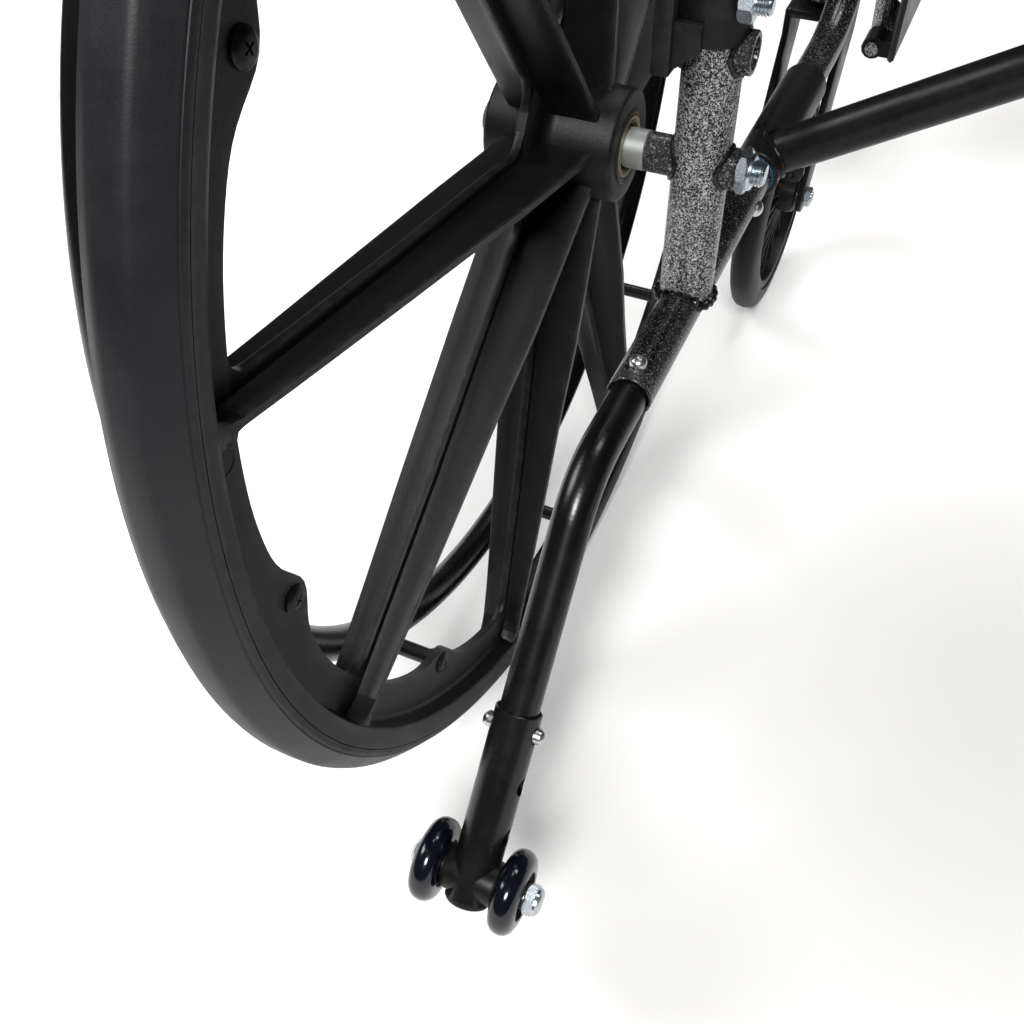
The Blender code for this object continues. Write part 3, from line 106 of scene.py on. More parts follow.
# %% Meshes and objects
def as_mesh(name, bm):
    """A mesh from a bmesh, which is given up."""
    mesh = bpy.data.meshes.new(name)
    bm.to_mesh(mesh)
    bm.free()
    return mesh


def as_bmesh(mesh):
    """A bmesh from a mesh, which is given up."""
    bm = bmesh.new()
    bm.from_mesh(mesh)
    bpy.data.meshes.remove(mesh)
    return bm


def shown(name, data):
    """An object that is part of the scene."""
    obj = bpy.data.objects.new(name, data)
    bpy.context.scene.collection.objects.link(obj)
    return obj


def evaluated(obj):
    """The mesh that an object's modifiers make of it."""
    graph = bpy.context.evaluated_depsgraph_get()
    return bpy.data.meshes.new_from_object(obj.evaluated_get(graph))


def gather(*parts):
    """One bmesh that holds several."""
    whole = bmesh.new()
    for part in parts:
        mesh = as_mesh("part", part)
        whole.from_mesh(mesh)
        bpy.data.meshes.remove(mesh)
    return whole


def cleaned(bm):
    """Merged doubles, no slivers, faces pointing out."""
    bmesh.ops.remove_doubles(bm, verts=bm.verts, dist=0.000004)
    bmesh.ops.dissolve_degenerate(bm, dist=0.000002, edges=bm.edges)
    bmesh.ops.recalc_face_normals(bm, faces=bm.faces)
    return bm


# %% Lines and places
def arc(centre, radius, start, end, count):
    """Points on an arc, in degrees."""
    turns = [math.radians(start + (end - start) * i / count) for i in range(count + 1)]
    return [(centre[0] + radius * math.cos(t), centre[1] + radius * math.sin(t)) for t in turns]


def circle(radius, sides):
    return arc((0.0, 0.0), radius, 0.0, 360.0, sides)[:-1]


def aimed(start, direction, across=X):
    """The place at a point whose Z runs along a direction and whose X lies near `across`."""
    z = Vector(direction).normalized()
    x = Z if abs(z.dot(across)) > 0.9 else across
    x = (x - z * z.dot(x)).normalized()
    return Matrix.Translation(start) @ Matrix((x, z.cross(x), z)).transposed().to_4x4()


def bent(corners, radii):
    """Points along a path whose inner corners are rounded."""
    points = [Vector(corners[0])]
    for before, corner, after, radius in zip(corners, corners[1:], corners[2:], radii):
        into = (corner - before).normalized()
        out = (after - corner).normalized()
        turn = into.angle(out)
        centre = corner + (out - into).normalized() * (radius / math.cos(turn / 2))
        start = corner - into * (radius * math.tan(turn / 2)) - centre
        count = max(4, math.ceil(turn / math.radians(2.5)))
        for i in range(count + 1):
            points.append(centre + Matrix.Rotation(turn * i / count, 3, into.cross(out)) @ start)
    return points + [Vector(corners[-1])]


# %% Swept shapes
def swept(outline, places):
    """A flat outline whose face is extruded from each place to the next."""
    bm = bmesh.new()
    face = bm.faces.new([bm.verts.new((a, b, 0.0)) for a, b in outline])
    bmesh.ops.transform(bm, matrix=places[0], verts=bm.verts)
    for before, after in zip(places, places[1:]):
        grown = bmesh.ops.extrude_face_region(bm, geom=[face])["geom"]
        face = next(g for g in grown if isinstance(g, bmesh.types.BMFace))
        bmesh.ops.transform(bm, matrix=after @ before.inverted(), verts=face.verts)
    return cleaned(bm)


def prism(outline, place, low, high):
    """A flat outline extruded between two heights over its place."""
    return swept(outline, [place @ Matrix.Translation(Z * level) for level in (low, high)])


def tube(points, radius, sides=48):
    """A round bar along a path."""
    places = []
    for i, point in enumerate(points):
        ahead = points[min(i + 1, len(points) - 1)] - point
        behind = point - points[max(i - 1, 0)]
        places.append(aimed(point, ahead.normalized() + behind.normalized()))
    return swept(circle(radius, sides), places)


def softened(bm, width, angle=35.0):
    """Every sharp edge rounded."""
    sharp = [e for e in bm.edges if len(e.link_faces) == 2 and e.calc_face_angle() > math.radians(angle)]
    bmesh.ops.bevel(
        bm, geom=sharp, offset=width, segments=2, profile=0.5, material=-1,
        affect="EDGES", clamp_overlap=True,
    )
    return bm


def plate(outline, low, high, axis, edge=0.0006):
    """A flat outline of (Y, Z), (X, Z) or (X, Y) points, extruded along X, Y or Z."""
    columns = {"X": (Y, Z, X), "Y": (X, Z, Y), "Z": (X, Y, Z)}[axis]
    place = Matrix.Translation(Y * AXLE_Y) @ Matrix(columns).transposed().to_4x4()
    return softened(prism(outline, place, low, high), edge)


def block(low, high, edge=0.0008):
    """A rounded block between two corners whose Y is counted from the axle."""
    outline = [(low[0], low[1]), (high[0], low[1]), (high[0], high[1]), (low[0], high[1])]
    return plate(outline, low[2], high[2], "Z", edge)


# %% Turned shapes
def turned(profile, start, direction, steps=48):
    """A closed outline of (height, radius) spun about an axis."""
    bm = bmesh.new()
    corners = [bm.verts.new((radius, 0.0, height)) for height, radius in profile]
    edges = [bm.edges.new(ends) for ends in zip(corners, corners[1:] + corners[:1])]
    bmesh.ops.spin(
        bm, geom=corners + edges, cent=(0.0, 0.0, 0.0), axis=Z,
        angle=math.tau, steps=steps, use_merge=True,
    )
    bmesh.ops.transform(bm, matrix=aimed(start, direction), verts=bm.verts)
    return cleaned(bm)


def rod(start, end, radius, sides=24, edge=0.0004):
    """A straight round bar with its two edges broken."""
    length = (end - start).length
    profile = [
        (0.0, 0.0), (0.0, radius - edge), (edge, radius),
        (length - edge, radius), (length, radius - edge), (length, 0.0),
    ]
    return turned(profile, start, end - start, sides)


def drill(middle, way, radius, sides=32):
    """A sharp-edged bar that reaches as far behind a point as before it."""
    return rod(middle - way, middle + way, radius, sides, 0.0)


def pipe(start, end, radius, bore, sides, edge):
    """A straight tube that is open at both ends."""
    length = (end - start).length
    profile = [
        (0.0, bore + edge / 2), (0.0, radius - edge), (edge, radius), (length - edge, radius),
        (length, radius - edge), (length, bore + edge / 2), (length - edge, bore), (edge, bore),
    ]
    return turned(profile, start, end - start, sides)


# %% [markdown]
# ## Cutting holes and joining pairs
# Holes in tubes are cut with an exact Boolean, as a drill would. `pair` turns a finished
# bmesh into the left piece and its mirror image, lets each ride on its own body and hides
# the imported nodes that it stands for.


# %% Booleans and mirrored pairs
def joined(base, others, operation="DIFFERENCE"):
    """One bmesh cut by or limited to others."""
    objects = [shown("solid", as_mesh("solid", bm)) for bm in (base, *others)]
    for other in objects[1:]:
        step = objects[0].modifiers.new("step", "BOOLEAN")
        step.operation, step.solver, step.object = operation, "EXACT", other
    bpy.context.view_layer.update()
    result = evaluated(objects[0])
    for obj in objects:
        bpy.data.objects.remove(obj)
    return as_bmesh(result)


def finished(name, bm, finish, body, slot, stands_for=(), angle=34.0):
    """One object from a bmesh, on its body."""
    mesh = bpy.data.meshes.new(name)
    bm.to_mesh(mesh)
    mesh.materials.append(finish)
    mesh.polygons.foreach_set("use_smooth", [True] * len(mesh.polygons))
    mesh.set_sharp_from_angle(angle=math.radians(angle))
    obj = shown(name, mesh)
    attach(obj, body)
    if stands_for:
        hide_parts(*stands_for)
    return obj


def pair(name, bm, finish, body, slot, stands_for=(), angle=34.0):
    """The piece on the sitter's left and its mirror image on the right."""
    made = []
    for side in ("left", "right"):
        if side == "right":
            bmesh.ops.scale(bm, vec=(-1.0, 1.0, 1.0), verts=bm.verts)
            bmesh.ops.reverse_faces(bm, faces=bm.faces)
        nodes = [f"{node}_{side}" for node in stands_for]
        made.append(finished(f"{name}_{side}", bm, finish, f"{body}_{side}", slot, nodes, angle))
    print(name, "faces", len(bm.faces))
    bm.free()
    return made


# %% [markdown]
# ## Effects that several finishes share
# Four groups of nodes are built once. **Vein** is a powder coat that draws together into
# small silver cells on a dark ground while it bakes. **Grain** is the fine texture that a
# spark-eroded mould leaves. **Handling** is the dust and the rubbed patches of use. **Weave**
# is a plain cloth. Each group gives only colours, values and heights; the shader stays in
# the material.


# %% Node helpers
def feed(tree, value, socket):
    """A socket takes another node's output, a colour or a number."""
    if isinstance(value, bpy.types.NodeSocket):
        tree.links.new(value, socket)
    elif isinstance(value, tuple) and socket.type == "RGBA":
        socket.default_value = (*value, 1.0)
    else:
        socket.default_value = value


def fill(tree, sockets, **values):
    """Sockets that are found by their titles take their values."""
    for title, value in values.items():
        feed(tree, value, sockets[title.replace("_", " ")])


def wire(tree, kind, **values):
    """A node: a small letter starts a setting's name, a capital a socket's title."""
    node = tree.nodes.new("ShaderNode" + kind)
    for key, value in values.items():
        if key[0].isupper():
            fill(tree, node.inputs, **{key: value})
        else:
            setattr(node, key, value)
    return node


def noise(tree, vector, scale, detail, roughness=0.5, distortion=0.0):
    """A cloudy pattern between 0 and 1."""
    return wire(
        tree, "TexNoise", Vector=vector, Scale=scale, Detail=detail,
        Roughness=roughness, Distortion=distortion,
    ).outputs["Fac"]


def ramp(tree, factor, *stops):
    """Grey values over a factor, between two stops."""
    node = wire(tree, "ValToRGB", Fac=factor)
    for element, (place, value) in zip(node.color_ramp.elements, stops):
        element.position = place
        element.color = (value, value, value, 1.0)
    return node.outputs["Color"]


def maths(tree, operation, *values):
    """A Math node over sockets or numbers."""
    node = wire(tree, "Math", operation=operation)
    for value, socket in zip(values, node.inputs):
        feed(tree, value, socket)
    return node.outputs[0]


def mixed(tree, factor, first, second):
    """A colour mix of sockets or colours."""
    node = wire(tree, "Mix", data_type="RGBA")
    for index, value in ((0, factor), (6, first), (7, second)):
        feed(tree, value, node.inputs[index])
    return node.outputs[2]


def group(name, results, **given):
    """An empty shader group: its tree, what it is given and where its results go."""
    tree = bpy.data.node_groups.new(name, "ShaderNodeTree")
    kinds = {title: "Color" if isinstance(value, tuple) else "Float" for title, value in given.items()}
    for title, value in {"Vector": (0.0, 0.0, 0.0), **given}.items():
        kind = kinds.get(title, "Vector")
        title = title.replace("_", " ")
        socket = tree.interface.new_socket(title, in_out="INPUT", socket_type="NodeSocket" + kind)
        socket.default_value = (*value, 1.0) if kind == "Color" else value
    for title in results:
        kind = "Color" if title == "Colour" else "Float"
        tree.interface.new_socket(title, in_out="OUTPUT", socket_type="NodeSocket" + kind)
    print("group", name)
    return tree, tree.nodes.new("NodeGroupInput").outputs, tree.nodes.new("NodeGroupOutput").inputs


# %% Vein powder coat
vein, given, results = group(
    "Vein coat", ("Colour", "Roughness", "Metal", "Height"),
    Silver=(0.5, 0.5, 0.5), Vein=(0.02, 0.02, 0.02), Cells_per_metre=700.0, Silver_share=0.0,
)
worms = noise(vein, given["Vector"], given["Cells per metre"], 2.5, 0.62, 1.1)
patches = noise(vein, given["Vector"], 70.0, 3.0)
level = maths(vein, "ADD", worms, maths(vein, "MULTIPLY_ADD", patches, 0.1, -0.05))
level = maths(vein, "ADD", level, given["Silver share"])
cells = ramp(vein, level, (0.498, 0.0), (0.542, 1.0))
fill(
    vein, results, Colour=mixed(vein, cells, given["Vein"], given["Silver"]),
    Roughness=ramp(vein, level, (0.45, 0.24), (0.6, 0.4)),
    Metal=maths(vein, "MULTIPLY", cells, 0.8), Height=cells,
)

# %% Moulded grain
grain, given, results = group(
    "Moulded grain", ("Colour", "Roughness", "Height"),
    Colour=(0.03, 0.03, 0.03), Grains_per_metre=2200.0, Roughness=0.5,
)
pits = noise(grain, given["Vector"], given["Grains per metre"], 2.5, 0.6)
clouds = noise(grain, given["Vector"], 38.0, 5.0, 0.62)
bright = maths(grain, "MULTIPLY_ADD", pits, 0.6, maths(grain, "MULTIPLY_ADD", clouds, 0.9, 0.25))
lit = wire(grain, "VectorMath", operation="SCALE", Vector=given["Colour"], Scale=bright)
smooth = maths(grain, "SUBTRACT", given["Roughness"], 0.15)
fill(
    grain, results, Colour=lit.outputs[0],
    Roughness=maths(grain, "MULTIPLY_ADD", clouds, 0.3, smooth), Height=pits,
)

# %% Handling
handling, given, results = group(
    "Handling", ("Colour",), Colour=(0.1, 0.1, 0.1), Edge=0.5,
    Worn_colour=(0.3, 0.3, 0.3), Wear=0.5, Dust=0.1,
)
scuffs = noise(handling, given["Vector"], 160.0, 6.0, 0.7)
sharp = maths(handling, "MULTIPLY_ADD", scuffs, 0.16, maths(handling, "SUBTRACT", given["Edge"], 0.08))
worn = maths(handling, "MULTIPLY", ramp(handling, sharp, (0.53, 0.0), (0.62, 1.0)), given["Wear"])
specks = noise(handling, given["Vector"], 520.0, 4.0, 0.75)
dust = maths(handling, "MULTIPLY", ramp(handling, specks, (0.55, 0.0), (0.75, 1.0)), given["Dust"])
edged = mixed(handling, worn, given["Colour"], given["Worn colour"])
fill(handling, results, Colour=mixed(handling, dust, edged, (0.36, 0.35, 0.33)))

# %% Woven cloth
weave, given, results = group(
    "Woven cloth", ("Colour", "Roughness", "Height"),
    Colour=(0.02, 0.02, 0.02), Threads_per_metre=1500.0,
)
threads = wire(
    weave, "VectorMath", operation="SCALE", Vector=given["Vector"],
    Scale=given["Threads per metre"],
)
split = wire(weave, "SeparateXYZ", Vector=threads.outputs[0]).outputs
waves, counts = [], []
for axis in ("X", "Y"):
    turns = maths(weave, "SINE", maths(weave, "MULTIPLY", split[axis], math.pi))
    waves.append(maths(weave, "ABSOLUTE", turns))
    counts.append(maths(weave, "FLOOR", split[axis]))
pick = wire(weave, "Mix", data_type="FLOAT")
over = maths(weave, "PINGPONG", maths(weave, "ADD", *counts), 1.0)
for index, value in ((0, over), (2, waves[0]), (3, waves[1])):
    feed(weave, value, pick.inputs[index])
fill(
    weave, results, Colour=mixed(weave, pick.outputs[0], (0.004, 0.004, 0.005), given["Colour"]),
    Roughness=maths(weave, "MULTIPLY_ADD", pick.outputs[0], -0.2, 0.85), Height=pick.outputs[0],
)

# %% [markdown]
# ## The finishes
# Each finish is one Principled shader. The groups feed its colour, roughness and bump in
# object coordinates, so a pattern stays put on the piece when the piece moves.


# %% Finish builders
def bare(name, **sockets):
    """A material with its shader's sockets and its object coordinates."""
    material = bpy.data.materials.new(name)
    material.use_nodes = True
    tree = material.node_tree
    shader = tree.nodes["Principled BSDF"].inputs
    fill(tree, shader, **sockets)
    return material, tree, shader, tree.nodes.new("ShaderNodeTexCoord").outputs["Object"]


def placed(tree, which, vector, **values):
    """What a shared group gives in a material."""
    node = tree.nodes.new("ShaderNodeGroup")
    node.node_tree = which
    fill(tree, node.inputs, Vector=vector, **values)
    return node.outputs


def covered(tree, shader, place, colour, roughness, height, depth, strength, worn, wear, dust):
    """Dust and rubbed edges over a colour, then roughness and bump."""
    edge = tree.nodes.new("ShaderNodeNewGeometry").outputs["Pointiness"]
    skin = placed(tree, handling, place, Colour=colour, Edge=edge, Worn_colour=worn, Wear=wear, Dust=dust)
    bump = wire(tree, "Bump", Strength=strength, Distance=depth, Height=height)
    fill(tree, shader, Base_Color=skin["Colour"], Roughness=roughness, Normal=bump.outputs["Normal"])


def vein_finish(name, silver, share):
    material, tree, shader, place = bare(
        name, Coat_Weight=0.1, Coat_Roughness=0.12, Specular_IOR_Level=0.25,
    )
    coat = placed(
        tree, vein, place, Silver=silver, Vein=(0.002, 0.002, 0.0021),
        Cells_per_metre=1050.0, Silver_share=share,
    )
    fill(tree, shader, Metallic=coat["Metal"])
    covered(
        tree, shader, place, coat["Colour"], coat["Roughness"], coat["Height"], 0.00012, 0.7,
        (0.35, 0.35, 0.35), 0.12, 0.008,
    )
    return material


def moulded_finish(name, colour, roughness, grains, depth, worn, wear, dust, shine=0.22, **sockets):
    material, tree, shader, place = bare(name, Specular_IOR_Level=shine, **sockets)
    skin = placed(tree, grain, place, Colour=colour, Grains_per_metre=grains, Roughness=roughness)
    covered(
        tree, shader, place, skin["Colour"], skin["Roughness"], skin["Height"], depth, 1.0,
        worn, wear, dust,
    )
    return material


def metal_finish(name, colour, roughness, lines):
    """Plated or brushed metal: fine rings of tool marks and a cloudy passivation."""
    material, tree, shader, place = bare(name, Metallic=1.0)
    stretch = wire(tree, "Mapping", Vector=place, Scale=(6.0, 1.0, 1.0))
    marks = noise(tree, stretch.outputs["Vector"], lines, 3.0, 0.7)
    cloudy = tuple(c * k for c, k in zip(colour, (0.8, 0.84, 0.92)))
    tint = mixed(tree, noise(tree, place, 130.0, 4.0), colour, cloudy)
    rough = maths(tree, "MULTIPLY_ADD", marks, 0.22, roughness - 0.1)
    worn = tuple(min(1.0, c * 1.25) for c in colour)
    covered(tree, shader, place, tint, rough, marks, 0.00003, 0.6, worn, 0.4, 0.02)
    return material


def cloth_finish(name, colour, threads):
    material, tree, shader, place = bare(
        name, Sheen_Weight=0.06, Sheen_Roughness=0.5, Specular_IOR_Level=0.2,
    )
    uv = wire(tree, "UVMap", uv_map="UVMap").outputs["UV"]
    cloth = placed(tree, weave, uv, Colour=colour, Threads_per_metre=threads)
    covered(
        tree, shader, place, cloth["Colour"], cloth["Roughness"], cloth["Height"], 0.00025, 0.8,
        (0.03, 0.03, 0.034), 0.3, 0.012,
    )
    return material


# %% Metal and coats
silver_vein = vein_finish("Silver vein powder coat", (0.56, 0.56, 0.57), -0.012)
# The post's silver vein coat again, with a darker silver and fewer silver cells: painted shade for the side
# frame and axle tubes, which lie where less light falls than on the post.
shaded_vein = vein_finish("Silver vein powder coat with painted shade", (0.42, 0.42, 0.43), -0.085)
black_steel = moulded_finish(
    "Black powder coat", (0.0028, 0.0028, 0.003), 0.32, 1500.0, 0.00003,
    (0.04, 0.038, 0.036), 0.35, 0.008,
)
gloss_black = moulded_finish(
    "Gloss black enamel", (0.0028, 0.0028, 0.003), 0.26, 3200.0, 0.000002,
    (0.03, 0.03, 0.03), 0.25, 0.003, 0.42,
)
zinc = metal_finish("Bright zinc plate", (0.58, 0.64, 0.67), 0.24, 1200.0)
steel = metal_finish("Brushed steel", (0.72, 0.71, 0.69), 0.28, 1800.0)
satin_steel = metal_finish("Satin steel spacer", (0.46, 0.47, 0.43), 0.55, 600.0)
bronze = metal_finish("Oiled bearing shield", (0.3, 0.25, 0.17), 0.48, 700.0)

# %% Plastic, rubber and cloth
composite = moulded_finish(
    "Glass-filled composite", (0.005, 0.0049, 0.005), 0.38, 2600.0, 0.00012,
    (0.06, 0.057, 0.053), 0.5, 0.008, 0.2,
)
black_plastic = moulded_finish(
    "Satin black plastic", (0.0045, 0.0045, 0.0047), 0.38, 3000.0, 0.00002,
    (0.045, 0.043, 0.04), 0.45, 0.008, 0.2,
)
vinyl = moulded_finish(
    "Grained black skin", (0.0085, 0.0085, 0.0088), 0.5, 900.0, 0.00025,
    (0.045, 0.045, 0.045), 0.4, 0.015,
)
navy = moulded_finish(
    "Navy urethane", (0.002, 0.003, 0.0085), 0.17, 400.0, 0.00001,
    (0.012, 0.016, 0.03), 0.3, 0.006, 0.4, Coat_Weight=0.3, Coat_Roughness=0.06,
)
grey_urethane = moulded_finish(
    "Grey tyre urethane", (0.011, 0.0115, 0.014), 0.46, 1800.0, 0.00004,
    (0.075, 0.073, 0.07), 0.4, 0.014, 0.3,
)
caster_rubber = moulded_finish(
    "Caster urethane", (0.008, 0.008, 0.0082), 0.44, 1800.0, 0.00004,
    (0.045, 0.045, 0.045), 0.4, 0.01,
)
teal = moulded_finish(
    "Blue nylon liner", (0.01, 0.12, 0.27), 0.35, 900.0, 0.00001, (0.03, 0.25, 0.42), 0.3, 0.01,
)
thread = moulded_finish(
    "Waxed thread", (0.16, 0.16, 0.165), 0.6, 4000.0, 0.00001, (0.2, 0.2, 0.2), 0.2, 0.02,
)
nylon = cloth_finish("Black nylon cloth", (0.011, 0.011, 0.0125), 900.0)
print("finishes", len([m for m in bpy.data.materials if m.use_nodes]))

# %% [markdown]
# ## Wheel plate and ribs
# The rear wheel is one injection moulding. A thin dished plate joins hub and rim, and is cut
# into nine spokes; a deep thin rib runs down the middle of each spoke on both faces. The
# plate starts as flat grids whose rows are laid along the spoke, and the ribs as an outline
# swept from the hub to the rim's bed, because both change width along the way.

# %% Wheel sizes
SPOKES = 9
FIRST_SPOKE = math.radians(11.0)
BED_R = 0.2764
WEB_EDGE = 0.2602
SCREW_R = 0.2565
WINDOW_R, WINDOW_FILLET = 0.0655, 0.017
WEB_FILLET_R, WEB_FILLET = 0.25, 0.011
SPOKE_HALF = 0.0062
LOBE = 13.0
PLATE_MIDDLE = mm("0 286.8, 34 285.8, 64 283.9, 139 280.8, 171 279.5, 250 277.8, 300 277.5")
RIB_NEAR = mm("0 260.5, 90 260.5, 139 262.8, 179 264, 240 266.2, 262 267.2, 300 268.5")
RIB_FAR = mm("0 303.5, 34 302.8, 96 299.5, 179 294.3, 238 290.3, 300 288")


def read(table, value):
    """A value read off a table of straight stretches."""
    for (a, p), (b, q) in zip(table, table[1:]):
        if value <= b:
            return p + (q - p) * (value - a) / (b - a)
    return table[-1][1]


def spoke_angle(k):
    return FIRST_SPOKE + math.tau * k / SPOKES


def wheel_point(radius, angle, x):
    """A point of the wheel, its angle in radians from the rearward line."""
    return at(x, radius * math.cos(angle), AXLE_Z + radius * math.sin(angle))


def half_spoke(radius):
    """Half the plate's width across a spoke, in radians, with its two fillets."""
    if radius < WINDOW_R:
        window = math.sqrt(max(0.0, WINDOW_FILLET ** 2 - (WINDOW_R - radius) ** 2))
        return math.pi / SPOKES - math.asin(min(1.0, window / radius))
    width = SPOKE_HALF
    if radius > WEB_FILLET_R:
        width += WEB_FILLET - math.sqrt(max(0.0, WEB_FILLET ** 2 - (radius - WEB_FILLET_R) ** 2))
    return width / radius


def window_edge(turn):
    """The radius at which the rim's web ends, `turn` degrees away from a spoke."""
    away = 180.0 / SPOKES - abs(turn)
    if away > LOBE:
        return WEB_EDGE
    lobe = 0.5 + 0.5 * math.cos(math.pi * away / LOBE)
    return WEB_EDGE - 0.003 * lobe - 0.0078 * lobe ** 6


# %% Plate
def grid(columns, rows, place, thickness, edge):
    """A create_grid whose corners are laid out by a rule, then given a thickness along X."""
    bm = bmesh.new()
    bmesh.ops.create_grid(bm, x_segments=columns, y_segments=rows, size=1.0)
    for vert in bm.verts:
        vert.co = place(vert.co.x, (vert.co.y + 1.0) / 2)
    bmesh.ops.remove_doubles(bm, verts=bm.verts, dist=0.000002)
    bmesh.ops.recalc_face_normals(bm, faces=bm.faces)
    bmesh.ops.translate(bm, vec=X * (-thickness / 2), verts=bm.verts)
    grown = bmesh.ops.extrude_face_region(bm, geom=list(bm.faces))["geom"]
    moved = [v for v in grown if isinstance(v, bmesh.types.BMVert)]
    bmesh.ops.translate(bm, vec=X * thickness, verts=moved)
    bmesh.ops.recalc_face_normals(bm, faces=bm.faces)
    return softened(bm, edge, 60.0) if edge else bm


def spoke_plate(k):
    """One spoke of the plate, its rows closer together at the fillets."""
    start, end = 0.0486, 0.2608

    def place(u, v):
        eased = v * v * (3 - 2 * v) * 0.45 + v * 0.55
        radius = start + (end - start) * eased
        return wheel_point(radius, spoke_angle(k) + u * half_spoke(radius), read(PLATE_MIDDLE, radius))

    return grid(6, 44, place, 0.004, 0.0007)


def rim_web(u, v):
    """A place on the ring of plate inside the rim, for each spot of a flat grid."""
    turn = (u + 1.0) * 180.0
    inner = window_edge((turn + 20.0) % 40.0 - 20.0)
    radius = inner + (BED_R + 0.0006 - inner) * v
    return wheel_point(radius, FIRST_SPOKE + math.radians(turn), read(PLATE_MIDDLE, radius))


plates = gather(*[spoke_plate(k) for k in range(SPOKES)])
webs = grid(40 * SPOKES, 4, rim_web, 0.0043, 0.0)
print("plate faces", len(plates.faces), "web faces", len(webs.faces))

# %% Ribs
RIB_HALF = ((0.0034, 0.0), (0.0024, 0.14), (0.0019, 0.3), (0.0017, 0.6), (0.0018, 0.93), (0.0013, 1.0))
RIB_RADII = (18, 26, 34, 47, 64, 96, 139, 179, 220, 245, 258, 266, 272, 275, 277)


def rib(k, table):
    """One half of a rib, from the plate to the edge that the table gives."""
    angle = spoke_angle(k)
    outward, across = (Z * math.sin(t) + Y * math.cos(t) for t in (angle, angle + math.pi / 2))
    outline = [(-0.0034, 0.0), *RIB_HALF] + [(-a, b) for a, b in RIB_HALF[:0:-1]]
    places = []
    for radius in RIB_RADII:
        radius /= 1000
        middle = read(PLATE_MIDDLE, radius)
        flare = 1.0 + 2.2 * max(0.0, (radius - 0.266) / 0.011) ** 2 + 0.5 * max(0.0, (0.047 - radius) / 0.03)
        x, y = across * flare, X * (read(table, radius) - middle)
        place = Matrix((x, y, outward)).transposed().to_4x4()
        places.append(Matrix.Translation(wheel_point(radius, angle, middle)) @ place)
    return swept(outline, places)


ribs = gather(*[rib(k, table) for k in range(SPOKES) for table in (RIB_NEAR, RIB_FAR)])
print("rib faces", len(ribs.faces))

# %% [markdown]
# ## Rim and hub
# Rim and hub are true turned shapes, so each is an outline spun about the axle. The rim's
# bed is a shallow trough whose wall stands up to the seam with the tyre.

# %% Rim, hub and mould marks
rim_half = mm(
    "2.1 275.3, 3 276.2, 4 276.5, 9.6 277.15, 10.4 277.3, 11 277.9, 11.7 280, 12.4 283.5,"
    "12.5 285.6"
)
rim = turned([(-a, b) for a, b in reversed(rim_half)] + rim_half, at(WHEEL_X, 0.0, AXLE_Z), X, 216)
hub_line = mm(
    "0 16.5, 0 23.4, 0.6 24.3, 1.6 24.8, 26 25.2, 29 26.2, 30.4 28.2, 30.9 31, 30.9 49.2, 35 49.2, 35.2 31,"
    "36 28, 38 26.2, 42 25.4, 59 24.8, 60.4 24, 61 22.8, 61 6.4, 9 6.4, 9 16.5"
)
hub = turned(hub_line, at(0.252, 0.0, AXLE_Z), X, 96)
marks = []
for k in range(SPOKES):
    spot = wheel_point(0.2672, spoke_angle(k) - math.radians(3.4), 0.27555)
    marks.append(turned(mm("0 5.2, -0.3 5, -0.3 4.4, -0.1 4.2, -0.1 0, 1 0, 1 5.2"), spot, X, 32))
wheel = gather(rim, hub, plates, webs, ribs, *marks)
pair("rim_and_spokes", wheel, composite, "rear_wheel", "composite", ["wheel"], 40.0)

# %% [markdown]
# ## Tyre and push ring
# The tyre is solid urethane whose tread is set toward the frame. The push ring is a steel
# tube held off the rim by nine rods, each closed by a pan-head screw with a crossed recess.

# %% Tyre
tyre_line = mm(
    "-12.4 286, -12.5 286.6, -12.3 288, -11.9 288.65, -11.6 288.8, -11.5 289.7, -9.5 291.9, -7.5 294.1,"
    "-5.5 296.1, -4.5 296.9, -3 297.45, 0.8 297.5, 4.5 297.45, 6.5 296.9, 8.5 295.7, 10.5 294.4, 12.2 293.3,"
    "12.5 292.6, 12.5 286"
)
tyre = turned(tyre_line, at(WHEEL_X, 0.0, AXLE_Z), X, 216)
pair("tyre_ring", tyre, grey_urethane, "rear_wheel", "grey_tyre", ["tyre"], 28.0)

# %% Push ring and screws
ring_line = [(a, SCREW_R + b) for a, b in circle(0.0085, 24)]
ring = [turned(ring_line, at(0.3175, 0.0, AXLE_Z), X, 216)]
screws = []
for k in range(SPOKES):
    angle = spoke_angle(k + 0.5)
    for near, far, radius in ((0.279, 0.313, 0.0042), (0.2796, 0.283, 0.0048)):
        ring.append(rod(wheel_point(SCREW_R, angle, near), wheel_point(SCREW_R, angle, far), radius, 20))
    seat = wheel_point(SCREW_R, angle, 0.2754)
    head = turned(mm("0 0, 0 5.3, 0.6 5.3, 1.2 4.7, 1.7 3.4, 1.9 1.8, 2 0"), seat, -X, 32)
    slots = []
    for spin in (0.4 + k, 0.4 + k + math.pi / 2):
        face = aimed(seat - X * 0.0009, -X, Y) @ Matrix.Rotation(spin, 4, "Z")
        slots.append(prism(mm("-2.1 -0.35, 2.1 -0.35, 2.1 0.35, -2.1 0.35"), face, 0.0, 0.004))
    screws.append(joined(head, slots))
pair("push_ring", gather(*ring), gloss_black, "rear_wheel", "black_plastic", ["handrim"])
pair("ring_screws", gather(*screws), black_steel, "rear_wheel", "black_plastic")

# %% [markdown]
# ## Bearing and axle
# A sealed ball bearing sits in the hub's inner face: a black seal outside, an oiled metal
# shield with fine turned rings, and the satin spacer of the axle bolt through its middle.


